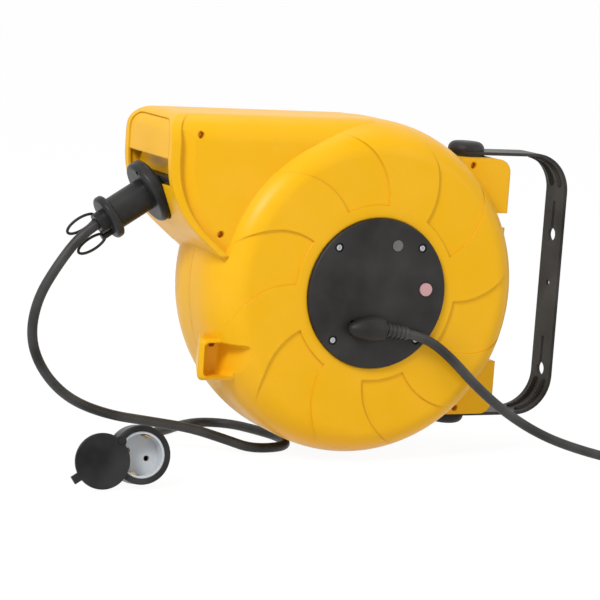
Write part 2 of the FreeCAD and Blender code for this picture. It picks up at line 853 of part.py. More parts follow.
# Mouth: a curved plate closes it above the cord, and a black guide leads the cord in.
run_gap = worth("run_gap")
slide_gap = worth("slide_gap")


def mouth_plate():
    inset = worth("plate_inset")
    deep = inset + worth("plate_wall")
    low = worth("mouth_lintel")
    edge = worth("mouth_half") - slide_gap
    wide = spout_half - shell_wall - slide_gap
    parts = []
    for side in (-1, 1):
        parts.append(mouth_band(inset, deep, edge, PLATE_TOP - slide_gap, low, side))
        parts.append(mouth_band(shell_wall + run_gap, deep + 1, wide, drum_r - shell_wall - slide_gap, low, side))
        back = deep + worth("baffle_deep")
        parts.append(mouth_band(deep - 1, back, wide, low + worth("plate_wall"), low, side))
        foot = worth("guide_top") + slide_gap
        parts.append(mouth_band(back - worth("plate_wall"), back, wide, low + 1, foot, side))
    return parts[0].fuse(parts[1:]).removeSplitter()


node(drawn("mouth_plate", mouth_plate()), "mouth_plate")

cord_r = worth("cord_dia") / 2


def cord_guide():
    low = worth("mouth_sill") + 1
    high = worth("guide_top")
    shoulder = worth("mouth_shoulder") + slide_gap
    left = mouth_left
    deep = worth("guide_deep")
    half = worth("mouth_half") - slide_gap
    wide = spout_half - shell_wall - slide_gap
    slim = Part.makeBox(deep, 2 * half, high - shoulder, Vector(-left, -half, shoulder))
    broad = Part.makeBox(deep, 2 * wide, high - low, Vector(-left, -wide, low))
    round_seat = seat_bar(SEAT_RAD - slide_gap).common(
        Part.makeBox(deep, 2 * half, high, Vector(-left, -half, 0)))
    skin = spout_solid(worth("plate_inset"), -1).fuse(spout_solid(worth("plate_inset"), 1))
    room = spout_solid(shell_wall + slide_gap, -1).fuse(spout_solid(shell_wall + slide_gap, 1))
    whole = slim.fuse(round_seat).common(skin).fuse(broad.common(room))
    front = STOP_AXIS - OUTWARD * (worth("stop_inner") + slide_gap)
    outside = Part.makeCylinder(FAR, FAR, front, OUTWARD)
    hole = Part.makeCylinder(worth("guide_hole") / 2, FAR, STOP_AXIS, OUTWARD * -1)
    flare = Part.makeCone(worth("guide_hole") / 2 + 4, worth("guide_hole") / 2, 4, front, OUTWARD * -1)
    return whole.cut([outside, hole, flare]).removeSplitter()


node(drawn("cord_guide", cord_guide()), "cord_guide")

# Screws that hold the two shells together, sunk in their columns.
heads = []
for name, (x, z, front) in SHELL_SCREWS.items():
    deep = front + worth("shell_head_deep")
    head = rod("screw_head_" + name, "shell_head / 2", "screw_head_tall", x, f"{deep} - screw_head_tall", z,
               roll="-90")
    shank = rod("screw_shank_" + name, "shell_thread / 2", f"shell_screw_end - {deep}", x, deep, z, roll="-90")
    heads.append(fuse("screw_" + name, head, shank))
node(together("shell_screws", *heads), "shell_screws")

# Front cover with the hood that lets the supply cord in.
COVER_FRONT = "-(drum_half + cover_proud)"
COVER_SEAT = "-(drum_half - cover_seat)"
COVER_BACK = "-(drum_half + cover_proud - cover_wall)"
cover_plate = turned(
    "cover_plate",
    ("0", COVER_FRONT),
    ("cover_rad", COVER_FRONT),
    ("cover_rad", COVER_SEAT),
    ("cover_rad - cover_rim", COVER_SEAT),
    ("cover_rad - cover_rim", COVER_BACK),
    ("0", COVER_BACK),
)
softened(cover_plate, "cover_proud * 0.35", ("cover_rad", COVER_FRONT))


def bullet(radius, start, tip):
    """A round-nosed bar along -X from start to tip, about the hood's axis."""
    nose = worth("hood_nose")
    turn = Vector(tip + nose, radius, 0)
    middle = Vector(tip + nose, 0, 0)
    far = Vector(tip, 0, 0)
    round_nose = Part.Ellipse(far, turn, middle)
    edges = [Part.makeLine(Vector(start, 0, 0), Vector(start, radius, 0))]
    edges.append(Part.makeLine(Vector(start, radius, 0), turn))
    edges.append(round_nose.toShape(0, math.pi / 2))
    edges.append(Part.makeLine(far, Vector(start, 0, 0)))
    made = Part.Face(Part.Wire(Part.__sortEdges__(edges))).revolve(Vector(0, 0, 0), Vector(1, 0, 0), 360)
    return made.translated(Vector(0, -worth("hood_out"), -worth("hood_drop")))


hood_tip = worth("hood_end - hood_long")
hood_wall = worth("hood_wall")
cover_back = worth(COVER_BACK)
hood = bullet(worth("hood_rad"), worth("hood_end"), hood_tip)
ahead = Part.makeBox(2 * FAR, FAR, 2 * FAR, Vector(-FAR, cover_back - FAR, -FAR))
hood = drawn("hood", hood.common(ahead))
hollow = bullet(worth("hood_rad") - hood_wall, worth("hood_end") - hood_wall, hood_tip + hood_wall)
hollow = drawn("hood_hollow", hollow)
boot_neck = "boot_neck / 2"
neck_hole = rod("neck_hole", boot_neck + " + run_gap", "hood_wall * 3", "hood_end - hood_wall * 2", "-hood_out",
                "-hood_drop", pitch="90")
slit = block("cord_slit", "hood_long * 0.72", "cover_wall * 3", "hood_rad + 2", "hood_end - hood_long + 5",
             COVER_BACK + " - cover_wall", "-hood_drop - hood_rad / 2 - 1")
solid_parts = [cover_plate, hood]
openings = [hollow, neck_hole, slit]
for across in ("-cover_screw_at", "cover_screw_at"):
    for up in ("-cover_screw_at", "cover_screw_at"):
        tag = f"{len(openings)}"
        solid_parts.append(rod("cover_boss_" + tag, "cover_boss_rad + 1", "cover_wall",
                               across, COVER_SEAT + " - cover_wall", up, roll="-90"))
        openings.append(rod("cover_recess_" + tag, "recess_dia / 2", "recess_deep + 5", across,
                            COVER_FRONT + " - 5", up, roll="-90"))
        openings.append(rod("cover_hole_" + tag, "screw_dia / 2 + run_gap * 2", "cover_wall * 4", across,
                            COVER_FRONT + " - 1", up, roll="-90"))
BOSS_LONG = "drum_half + cover_proud - cover_wall - axle_front + axle_boss_lap"
solid_parts.append(rod("axle_boss", "axle_dia / 2 + 3", BOSS_LONG, "0", COVER_BACK, "0", roll="-90"))
openings.append(rod("axle_socket", "axle_dia / 2 + run_gap", "axle_front", "0", "-axle_front - run_gap", "0",
                    roll="-90"))
openings.append(rod("lens_hole", "lens_dia / 2 + run_gap * 2", "cover_wall * 4", "lens_x", COVER_FRONT + " - 1",
                    "lens_z", roll="-90"))
openings.append(rod("button_hole", "button_dia / 2 + run_gap * 4", "cover_wall * 4", "button_x",
                    COVER_FRONT + " - 1", "button_z", roll="-90"))
node(cut("front_cover_cut", fuse("front_cover_solid", *solid_parts), *openings), "front_cover")

screws = []
for across in ("-cover_screw_at", "cover_screw_at"):
    for up in ("-cover_screw_at", "cover_screw_at"):
        tag = f"{len(screws)}"
        floor = COVER_FRONT + " + recess_deep"
        head = rod("cover_head_" + tag, "screw_head / 2", "screw_head_tall", across,
                   floor + " - screw_head_tall", up, roll="-90")
        shank = rod("cover_shank_" + tag, "screw_dia / 2", "screw_long - 1", across, floor, up, roll="-90")
        flat = block("driver_flat_" + tag, "screw_head * 0.6", "0.8", "screw_head * 0.16",
                     across + " - screw_head * 0.3", floor + " - screw_head_tall", up + " - screw_head * 0.08")
        tall = block("driver_tall_" + tag, "screw_head * 0.16", "0.8", "screw_head * 0.6",
                     across + " - screw_head * 0.08", floor + " - screw_head_tall", up + " - screw_head * 0.3")
        screws.append(cut("cover_screw_" + tag, fuse("cover_screw_solid_" + tag, head, shank), flat, tall))
node(together("cover_screws", *screws), "cover_screws")

# Pilot lamp and the reset button of the thermal breaker.
LENS_FLANGE = COVER_BACK + " + run_gap"
lens = fuse(
    "lens_solid",
    rod("lens_front", "lens_dia / 2", "cover_wall + 1.5", "lens_x", COVER_FRONT + " - 0.8", "lens_z", roll="-90"),
    rod("lens_flange", "lens_dia / 2 + 1.4", "1.5", "lens_x", LENS_FLANGE, "lens_z", roll="-90"),
)
node(lens, "pilot_lens")
node(fuse("lamp_solid",
          rod("lamp_body", "lens_dia / 2 - 0.6", "13", "lens_x", LENS_FLANGE + " + 1.5 + run_gap", "lens_z",
              roll="-90"),
          block("lamp_foot", "lens_dia - 3", "drum_half + cover_proud - cover_wall - cup_floor - 14.5", "3",
                "lens_x - lens_dia / 2 + 1.5", LENS_FLANGE + " + 14", "lens_z - 1.5")), "pilot_lamp")

BUTTON_BACK = COVER_FRONT + " + cover_proud + 0.8"
button = fuse(
    "button_solid",
    rod("button_cap", "button_dia / 2", "button_proud + cover_proud + 0.8", "button_x",
        COVER_FRONT + " - button_proud", "button_z", roll="-90"),
    rod("button_stem", "2.5", "6.4", "button_x", BUTTON_BACK + " - 0.2", "button_z", roll="-90"),
)
node(button, "reset_button")
BREAKER_TOP = BUTTON_BACK + " + button_stroke + slide_gap * 2"
breaker_box = block("breaker_box", "18", "26.3", "18", "button_x - 12", BREAKER_TOP, "button_z - 9")
breaker_box.setExpression("Width", bound("-cup_floor - slide_gap - (" + BREAKER_TOP + ")"))
collar = rod("breaker_collar", "button_dia / 2 + 1.7", "5", "button_x", COVER_BACK + " + run_gap", "button_z",
             roll="-90")
collar.setExpression("Height", bound(BREAKER_TOP + " + 0.1 - (" + COVER_BACK + " + run_gap)"))
breaker = cut(
    "breaker_cut",
    fuse("breaker_solid", breaker_box, collar),
    rod("collar_hole", "button_dia / 2 + run_gap * 4", "5", "button_x", BREAKER_TOP + " - 5", "button_z",
        roll="-90"),
    rod("stem_hole", "2.7", "10", "button_x", BREAKER_TOP + " - 1", "button_z", roll="-90"),
)
node(breaker, "thermal_breaker")

# Terminal block, brush holder and brushes in the compartment behind the cover.
CUP_FLOOR = "-cup_floor"
block_tall = "18"
terminal = [block("terminal_box", "22", block_tall, "20", "-50", CUP_FLOOR + " - 18 - run_gap", "-10")]
terminal_screws = []
for step in range(3):
    height = f"{-6.5 + 6.5 * step}"
    terminal.append(rod(f"terminal_hole_{step}", "2.1", "8", "-39", CUP_FLOOR + " - 19", height, roll="-90"))
    terminal_screws.append(rod(f"terminal_screw_{step}", "2.0", "6", "-39", CUP_FLOOR + " - 17.5", height,
                               roll="-90"))
node(cut("terminal_cut", *terminal), "terminal_block")
node(together("terminal_screw_set", *terminal_screws), "terminal_screws")

RING_GAP = "(ring_step - ring_wide)"
ring_list = []
brush_list = []
brush_holes = []
for step in range(3):
    low = f"-collector_front + {RING_GAP} + {step} * ring_step"
    ring_list.append(turned(f"slip_ring_{step}", ("collector_core", low), ("ring_rad", low),
                            ("ring_rad", low + " + ring_wide"), ("collector_core", low + " + ring_wide")))
    brush_list.append(block(f"brush_{step}", "10", "ring_wide - 1", "5", "ring_rad + slide_gap", low + " + 0.5",
                            "-2.5"))
    brush_holes.append(block(f"brush_hole_{step}", "12", "ring_wide - 1 + run_gap * 2", "5 + run_gap * 2",
                             "ring_rad", low + " + 0.5 - run_gap", "-2.5 - run_gap"))
node(together("slip_ring_set", *ring_list), "slip_rings")
node(together("brush_set", *brush_list), "brushes")
holder = block("holder_box", "16", "collector_front + 1 - cup_floor - run_gap", "14", "ring_rad + 3.5",
               "-collector_front - 1", "-7")
node(cut("holder_cut", holder, *brush_holes), "brush_holder")
comb = [("axle_dia / 2 + slide_gap", "-collector_front"), ("collector_rad", "-collector_front")]
for step in range(3):
    low = f"-collector_front + {RING_GAP} + {step} * ring_step"
    comb += [("collector_rad", low), ("collector_core", low)]
    comb += [("collector_core", low + " + ring_wide"), ("collector_rad", low + " + ring_wide")]
last = f"-collector_front + {RING_GAP} + 3 * ring_step"
comb += [("collector_rad", last), ("collector_core", last)]
comb += [("collector_core", "-flange_front"), ("axle_dia / 2 + slide_gap", "-flange_front")]
node(turned("collector", *comb), "slip_ring_carrier")

# Axle, bushes and drum.
axle = cut(
    "axle_cut",
    rod("axle_bar", "axle_dia / 2", "axle_front + drum_half - shell_wall", "0", "-axle_front", "0", roll="-90"),
    rod("axle_thread", "end_screw / 2 + run_gap", "20", "0", "drum_half - shell_wall - 18", "0", roll="-90"),
)
node(axle, "axle")
node(fuse("axle_screw_solid",
          rod("axle_screw_head", "end_screw", "4", "0", "drum_half + 1.2", "0", roll="-90"),
          rod("axle_washer", "end_screw * 1.5", "1.2", "0", "drum_half", "0", roll="-90"),
          rod("axle_screw_shank", "end_screw / 2", "18", "0", "drum_half - 17.5", "0", roll="-90")), "axle_screw")
BUSH_IN = "axle_dia / 2 + run_gap"
BUSH_OUT = "axle_dia / 2 + bush_wall"
HUB_FRONT = "-(flange_front - flange_wall)"
HUB_REAR = "flange_rear - flange_wall"
front_bush = turned("bush_front", (BUSH_IN, HUB_FRONT), (BUSH_OUT, HUB_FRONT),
                    (BUSH_OUT, HUB_FRONT + " + bush_long"), (BUSH_IN, HUB_FRONT + " + bush_long"))
rear_bush = turned("bush_rear", (BUSH_IN, HUB_REAR + " - bush_long"), (BUSH_OUT, HUB_REAR + " - bush_long"),
                   (BUSH_OUT, HUB_REAR), (BUSH_IN, HUB_REAR))
node(together("bush_pair", front_bush, rear_bush), "drum_bushes")
half_web = "hub_wall / 2"
hub = turned(
    "hub",
    (BUSH_OUT, HUB_FRONT),
    ("hub_core", HUB_FRONT),
    ("hub_core", "-" + half_web),
    ("hub_rad - hub_wall", "-" + half_web),
    ("hub_rad - hub_wall", HUB_FRONT),
    ("hub_rad", HUB_FRONT),
    ("hub_rad", HUB_REAR),
    ("hub_rad - hub_wall", HUB_REAR),
    ("hub_rad - hub_wall", half_web),
    ("hub_core", half_web),
    ("hub_core", HUB_REAR),
    (BUSH_OUT, HUB_REAR),
)
node(hub, "drum_hub")
AXLE_CLEAR = "axle_dia / 2 + slide_gap"
for name, near, far in (("drum_front_flange", "-flange_front", HUB_FRONT),
                        ("drum_rear_flange", HUB_REAR, "flange_rear")):
    disc = turned(name + "_disc", (AXLE_CLEAR, near), ("flange_rad", near), ("flange_rad", far), (AXLE_CLEAR, far))
    softened(disc, "flange_wall * 0.3", ("flange_rad", near), ("flange_rad", far))
    node(disc, name)
wound = turned("wound", ("hub_rad + run_gap", HUB_FRONT + " + run_gap"), ("wound_rad", HUB_FRONT + " + run_gap"),
               ("wound_rad", HUB_REAR + " - run_gap"), ("hub_rad + run_gap", HUB_REAR + " - run_gap"))
node(wound, "wound_cable")

# Rewind spring in its case, on the back of the drum.
CASE_END = "flange_rear + spring_case_deep"
case = turned(
    "case",
    (AXLE_CLEAR, "flange_rear"),
    ("spring_case_rad", "flange_rear"),
    ("spring_case_rad", CASE_END),
    ("spring_case_rad - spring_wall", CASE_END),
    ("spring_case_rad - spring_wall", "flange_rear + spring_wall"),
    (AXLE_CLEAR, "flange_rear + spring_wall"),
)
node(case, "spring_case")
lid = turned("case_lid", ("hub_core + 1", CASE_END), ("spring_case_rad", CASE_END),
             ("spring_case_rad", CASE_END + " + spring_wall"), ("hub_core + 1", CASE_END + " + spring_wall"))
node(lid, "spring_case_lid")


def spiral_strip():
    """A flat spring wound from half circles, from the axle out to the case."""
    thick = worth("spring_strip")
    first = worth("axle_dia") / 2 + slide_gap + thick / 2
    last = worth("spring_case_rad - spring_wall") - thick / 2 - run_gap
    turns = int(worth("spring_turns"))
    step = (last - first) / (2 * turns)
    inner = []
    outer = []
    for half in range(2 * turns):
        radius = first + step * half + step / 2
        middle = Vector(step / 2 * (1 if half % 2 else -1), 0, 0)
        begin = 0 if half % 2 == 0 else 180
        for edges, off in ((inner, -thick / 2), (outer, thick / 2)):
            spots = [middle + polar(radius + off, begin + turn) for turn in (0, 90, 180)]
            edges.append(Part.Arc(*spots).toShape())
    caps = [Part.makeLine(inner[0].Vertexes[0].Point, outer[0].Vertexes[0].Point)]
    caps.append(Part.makeLine(inner[-1].Vertexes[-1].Point, outer[-1].Vertexes[-1].Point))
    rim = Part.Wire(Part.__sortEdges__(inner + outer + caps))
    low = worth("flange_rear + spring_wall") + 1
    high = worth(CASE_END) - 1
    return Part.Face(rim).translated(Vector(0, low, 0)).extrude(Vector(0, high - low, 0))


node(drawn("spiral", spiral_strip()), "main_spring")

# Ratchet on the back flange; its pawl turns on a pin in the rear shell.
ratchet_rad = worth("ratchet_rad")
teeth = int(worth("ratchet_teeth"))
tooth = worth("ratchet_tooth")
flange_rear = worth("flange_rear")


def ratchet():
    points = []
    for index in range(teeth):
        points.append(polar(ratchet_rad, index * 360 / teeth, flange_rear))
        points.append(polar(ratchet_rad - tooth, index * 360 / teeth + 4, flange_rear))
    bore = ratchet_rad - 2 * tooth
    ring = line_face(points).extrude(Vector(0, worth("ratchet_thick"), 0))
    return ring.cut(column(0, 0, bore, flange_rear - 1, flange_rear + worth("ratchet_thick") + 1))


node(drawn("ratchet", ratchet()), "ratchet_ring")
PAWL = Vector(worth("pawl_x"), 0, -worth("pawl_z"))
pawl_low = flange_rear + 2.5 * slide_gap
pawl_high = pawl_low + worth("pawl_thick")
pin_r = worth("pawl_pin_dia") / 2


def pawl():
    """A short lever whose nose waits just clear of the teeth."""
    lean = worth("pawl_lean_deg")
    nose = PAWL + polar(worth("pawl_reach"), lean)
    lift = ratchet_rad + 4 * slide_gap - math.hypot(nose.x, nose.z)
    nose = nose + polar(1, math.degrees(math.atan2(nose.z, nose.x))) * lift
    back = PAWL + polar(2 * pin_r, lean + 90)
    front = PAWL + polar(2 * pin_r, lean - 90)
    tail = PAWL + polar(worth("pawl_tail"), lean - 180)
    spots = [nose, nose + polar(worth("pawl_nose"), lean + 110), back, tail, front]
    profile = line_face([Vector(spot.x, pawl_low, spot.z) for spot in spots])
    bar = profile.extrude(Vector(0, pawl_high - pawl_low, 0))
    bar = bar.fuse(column(PAWL.x, PAWL.z, 2 * pin_r, pawl_low, pawl_high))
    return bar.cut(column(PAWL.x, PAWL.z, pin_r + run_gap, pawl_low - 1, pawl_high + 1)).removeSplitter()


node(drawn("pawl_lever", pawl()), "pawl")
node(rod("pin_bar", "pawl_pin_dia / 2", "drum_half - shell_wall - flange_rear - slide_gap",
         "pawl_x - axis_to_wall", "flange_rear + slide_gap", "-pawl_z", roll="-90"), "pawl_pin", moved=False)


def pin_spring():
    """A small wire spring round the pawl's pin."""
    wire = 0.45
    radius = pin_r + 2 * wire + slide_gap
    low = pawl_high + wire + slide_gap
    tall = worth("pawl_shelf") - slide_gap - wire - low
    turns = 3
    middle = Vector(PAWL.x, low, PAWL.z)
    edges = []
    for quarter in range(4 * turns):
        ends = []
        for corner in (quarter, quarter + 1):
            spot = middle + polar(radius, 90 * corner, tall * corner / (4 * turns))
            heading = polar(2 * math.pi * radius, 90 * corner + 90, tall / turns).normalize()
            ends += [spot, heading]
        edges += biarc(*ends)
    return tube("pawl_spring", edges, wire)


node(drawn("pin_coil", pin_spring()), "pawl_spring")

# Wall bracket: a bent strap that holds the reel between its two arms.
ARM_LOW = "(ear_top + washer_thick)"
ARM_HIGH = "(ear_top + washer_thick + strap_thick)"
BEND_X = "(axis_to_wall - strap_bend)"
BEND_Z = f"({ARM_HIGH} - strap_bend)"
ARM_END = "(pivot_x - strap_past_pivot)"


def strap_arm(tag, up):
    low = ARM_LOW if up > 0 else f"-{ARM_HIGH}"
    parts = [
        block("arm_" + tag, f"{BEND_X} - {ARM_END} - strap_corner", "strap_wide", "strap_thick",
              f"{ARM_END} + strap_corner", "-strap_wide / 2", low),
        block("arm_tip_" + tag, "strap_corner", "strap_wide - 2 * strap_corner", "strap_thick", ARM_END,
              "-strap_wide / 2 + strap_corner", low),
    ]
    for index, across in enumerate(("strap_wide / 2 - strap_corner", "strap_corner - strap_wide / 2")):
        parts.append(rod(f"arm_corner_{tag}_{index}", "strap_corner", "strap_thick", f"{ARM_END} + strap_corner",
                         across, low))
    outer = rod("bend_out_" + tag, "strap_bend", "strap_wide", BEND_X, f"{up} * strap_wide / 2",
                f"{up} * {BEND_Z}", roll=f"{up} * 90")
    outer.Angle = 90
    inner = rod("bend_in_" + tag, "strap_bend - strap_thick", "strap_wide + 2", BEND_X,
                f"{up} * (strap_wide / 2 + 1)", f"{up} * {BEND_Z}", roll=f"{up} * 90")
    parts.append(cut("bend_" + tag, outer, inner))
    return parts


def bead(tag, up, across, major, minor):
    """A stiffening bead that follows the strap's bend, with round ends."""
    sweep = "(90 - 2 * rib_start_deg)"
    ring = add("Part::Torus", tag, Radius1=major, Radius2=minor, Angle3=sweep)
    place(ring, BEND_X, across, f"{up} * {BEND_Z}", pitch=f"-{up} * rib_start_deg", roll=f"{up} * 90")
    ends = []
    for index, turn in enumerate(("rib_start_deg", "(90 - rib_start_deg)")):
        ball = add("Part::Sphere", f"{tag}_end_{index}", Radius=minor)
        ends.append(place(ball, f"{BEND_X} + ({major}) * cos({turn})", across,
                          f"{up} * ({BEND_Z} + ({major}) * sin({turn}))"))
    return [ring] + ends


web = block("strap_web", "strap_thick", "strap_wide", f"2 * {BEND_Z}", "axis_to_wall - strap_thick",
            "-strap_wide / 2", f"-{BEND_Z}")
strap = [web]
strap_cuts = []
for tag, up in (("top", 1), ("low", -1)):
    strap += strap_arm(tag, up)
    for side in (-1, 1):
        across = f"{side} * rib_space / 2"
        strap += bead(f"bead_{tag}_{side + 1}", up, across, "strap_bend - strap_thick", "rib_rad")
        strap_cuts += bead(f"groove_{tag}_{side + 1}", up, across, "strap_bend + 0.6", "rib_rad - 0.8")
    strap_cuts.append(rod("arm_hole_" + tag, "bolt_hole / 2", "strap_thick + 2", "pivot_x", "0",
                          (ARM_LOW if up > 0 else f"-{ARM_HIGH}") + " - 1"))
    centre = f"{up} * slot_spacing / 2"
    strap_cuts.append(block("slot_" + tag, "strap_thick + 2", "slot_wide", "slot_long - slot_wide",
                            "axis_to_wall - strap_thick - 1", "-slot_wide / 2",
                            f"{centre} - (slot_long - slot_wide) / 2"))
    for index, shift in enumerate(("+", "-")):
        strap_cuts.append(rod(f"slot_end_{tag}_{index}", "slot_wide / 2", "strap_thick + 2",
                              "axis_to_wall - strap_thick - 1", "0",
                              f"{centre} {shift} (slot_long - slot_wide) / 2", pitch="90"))
    strap_cuts.append(rod("keyhole_" + tag, "keyhole_dia / 2", "strap_thick + 2",
                          "axis_to_wall - strap_thick - 1", "0",
                          f"{centre} - slot_long / 2 - keyhole_dia / 2 + 1.5", pitch="90"))
strap_cuts.append(rod("middle_hole_cut", "middle_hole / 2", "strap_thick + 2", "axis_to_wall - strap_thick - 1",
                      "0", "0", pitch="90"))
node(cut("strap_cut", fuse("strap_solid", *strap), *strap_cuts), "wall_bracket")

washers = []
knobs = []
studs = []
nuts = []
KNOB_IN = "(knob_tall - 4.5)"
for tag, up in (("top", 1), ("low", -1)):
    roll = str(90 * up)
    disc = rod("washer_" + tag, "washer_dia / 2", "washer_thick", "pivot_x", "0",
               "ear_top" if up > 0 else f"-{ARM_LOW}")
    hole = rod("washer_hole_" + tag, "bolt_hole / 2", "washer_thick + 2", "pivot_x", "0",
               "ear_top - 1" if up > 0 else f"-{ARM_LOW} - 1")
    washers.append(cut("washer_cut_" + tag, disc, hole))
    dome = turned("dome_" + tag, ("0", ARM_HIGH), ("knob_dia / 2", ARM_HIGH),
                  ("knob_dia / 2", f"{ARM_HIGH} + knob_tall"), ("0", f"{ARM_HIGH} + knob_tall"))
    softened(dome, "knob_tall * 0.85", ("knob_dia / 2", f"{ARM_HIGH} + knob_tall"))
    socket = turned("knob_socket_" + tag, ("0", f"{ARM_HIGH} - 1"), ("bolt_dia / 2 + run_gap", f"{ARM_HIGH} - 1"),
                    ("bolt_dia / 2 + run_gap", f"{ARM_HIGH} + {KNOB_IN} + run_gap"),
                    ("0", f"{ARM_HIGH} + {KNOB_IN} + run_gap"))
    knobs.append(place(cut("knob_" + tag, dome, socket), "pivot_x", roll=roll))
    foot = "ear_top - nut_depth - nut_tall - 2"
    studs.append(place(turned("stud_" + tag, ("0", foot), ("bolt_dia / 2", foot),
                              ("bolt_dia / 2", f"{ARM_HIGH} + {KNOB_IN}"), ("0", f"{ARM_HIGH} + {KNOB_IN}")),
                       "pivot_x", roll=roll))
    low = "ear_top - nut_depth - nut_tall - run_gap" if up > 0 else "-(ear_top - nut_depth) + run_gap"
    six = add("Part::Prism", "nut_" + tag, Circumradius="nut_flats / 2 / cos(30)", Height="nut_tall")
    place(six, "pivot_x", "0", low)
    bore = rod("nut_bore_" + tag, "bolt_dia / 2 + run_gap", "nut_tall + 2", "pivot_x", "0", low + " - 1")
    nuts.append(cut("nut_cut_" + tag, six, bore))
node(together("washer_pair", *washers), "arm_washers")
node(together("knob_pair", *knobs), "pivot_knobs")
node(together("stud_pair", *studs), "pivot_studs")
node(together("nut_pair", *nuts), "pivot_nuts")


FLOOR_CORD = cord_r - worth("floor_drop")
# Cord stopper: two halves screwed round the cord, with two wire loops to pull it by.
flange_face = worth("stop_thick") - worth("stop_inner")
barrel_end = flange_face + worth("barrel_long")
collar_end = barrel_end + worth("collar_thick")
STOP_END = collar_end + worth("nub_long")
stop_bore = worth("stop_bore") / 2


def local_column(out, up, radius, near, far):
    """A bar along Y at a place given along the stopper's axis and above it."""
    return Part.makeCylinder(radius, far - near, Vector(out, near, -up), Vector(0, 1, 0))


def oval(wire_r, up):
    """One wire loop in its own plane beside the cord."""
    long = (worth("loop_long") - worth("loop_wire")) / 2
    wide = (worth("loop_wide") - worth("loop_wire")) / 2
    middle = Vector(worth("loop_end") - worth("loop_long") / 2, worth("loop_back"), -up)
    path = Part.Ellipse(middle + Vector(long, 0, 0), middle + Vector(0, 0, wide), middle)
    start = path.value(0)
    ring = Part.Wire(Part.makeCircle(wire_r, start, path.tangent(0)[0]))
    return Part.Wire(path.toShape()).makePipeShell([ring], True, True)


def stopper_half(side):
    inner = -worth("stop_inner")
    flange = worth("stop_rad")
    barrel = worth("barrel_rad")
    rim = worth("collar_rad")
    nub = worth("nub_rad")
    outline = ((inner, stop_bore), (inner, flange), (flange_face, flange), (flange_face, barrel),
               (barrel_end, barrel), (barrel_end, rim), (collar_end, rim), (collar_end, nub), (STOP_END, nub),
               (STOP_END, stop_bore))
    face = line_face([Vector(out, 0, radius) for out, radius in outline])
    whole = face.revolve(Vector(0, 0, 0), Vector(1, 0, 0), 360)

    def rims(body, *wanted):
        return [edge for edge in body.Edges if isinstance(edge.Curve, Part.Circle)
                and any(abs(edge.Curve.Center.x - out) < 1e-6 and abs(edge.Curve.Radius - radius) < 1e-6
                        for out, radius in wanted)]

    whole = whole.makeFillet(worth("stop_round"), rims(whole, (inner, flange), (flange_face, flange)))
    whole = whole.makeFillet(worth("collar_round"), rims(whole, (barrel_end, rim), (collar_end, rim)))
    keep = Part.makeBox(FAR, FAR, FAR, Vector(-FAR / 2, 0 if side > 0 else -FAR, -FAR / 2))
    half = whole.common(keep)
    tools = []
    if side > 0:
        post = Part.makeCylinder(worth("post_rad"), worth("post_long"),
                                 Vector(collar_end - 1, worth("loop_back"), worth("loop_down")), Vector(1, 0, 0))
        half = half.fuse(post)
        tools += [oval(worth("loop_wire") / 2 + run_gap, worth("loop_up")),
                  oval(worth("loop_wire") / 2 + run_gap, -worth("loop_down"))]
    else:
        tools.append(Part.makeCylinder(worth("eye_dia") / 2, worth("stop_thick") - 4,
                                       Vector(flange_face - worth("stop_thick") + 4, -worth("eye_front"),
                                              -worth("eye_up")), Vector(1, 0, 0)))
    for out, up in STOP_SCREWS:
        tools.append(local_column(out, up, thread_r + SHELL_GAP, -6.5, 6))
        tools.append(local_column(out, up, worth("screw_head") / 2 + slide_gap, 5, flange))
    return half.cut(tools).removeSplitter()


STOP_SCREWS = [(out, up) for out in (flange_face + 8, barrel_end - 8) for up in (-10, 10)]
STOP_X = "mouth_bend_r - mouth_left - mouth_bend_r * cos(stop_tilt) - stop_rise * sin(stop_tilt) - axis_to_wall"
STOP_Z = "mouth_bend_z - mouth_bend_r * sin(stop_tilt) + stop_rise * cos(stop_tilt)"


def on_stopper(thing, name):
    """Moves a thing drawn along +X from the stopper's middle to its place at the mouth."""
    place(thing, STOP_X, "0", STOP_Z, pitch="180 - stop_tilt")
    return node(thing, name, moved=False)


on_stopper(drawn("stopper_near", stopper_half(-1)), "stopper_front")
on_stopper(drawn("stopper_far", stopper_half(1)), "stopper_rear")
heads = []
for index, (out, up) in enumerate(STOP_SCREWS):
    shank = local_column(out, up, thread_r, -5.5, 5)
    head = local_column(out, up, worth("screw_head") / 2, 5, 5 + worth("screw_head_tall"))
    heads.append(drawn(f"stop_screw_{index}", shank.fuse(head).removeSplitter()))
on_stopper(together("stop_screw_set", *heads), "stopper_screws")
loops = [oval(worth("loop_wire") / 2, worth("loop_up")), oval(worth("loop_wire") / 2, -worth("loop_down"))]
on_stopper(drawn("loop_pair", Part.makeCompound(loops)), "pull_loops")

CORD_OUT = STOP_AXIS + OUTWARD * STOP_END
WOUND_TOP = Vector(8, 0, worth("wound_rad") + cord_r + 0.35)
lead_points = [CORD_OUT, STOP_AXIS - OUTWARD * worth("lead_straight"), Vector(-115, 0, drum_r - 33),
               Vector(-55, 0, drum_r - 40), Vector(-8, 0, WOUND_TOP.z), WOUND_TOP]
node(drawn("lead_out", tube("lead_out_cable", rounded_run(lead_points), cord_r)), "lead_out_cable")

# Coupling at the cord's end, with a lid that swivels aside on a pin in the rim.
PIN_X = "(lid_pivot_rad * cos(lid_pivot_deg))"
PIN_Z = "(lid_pivot_rad * sin(lid_pivot_deg))"
LID_FRONT = "-slide_gap - lid_thick"


def on_coupling(thing, name):
    """Moves a thing drawn from the coupling's mouth along +Y to where the coupling lies."""
    place(thing, "coupling_x - axis_to_wall", "coupling_y", "coupling_z", "coupling_yaw", "0", "coupling_lift")
    return node(thing, name, moved=False)


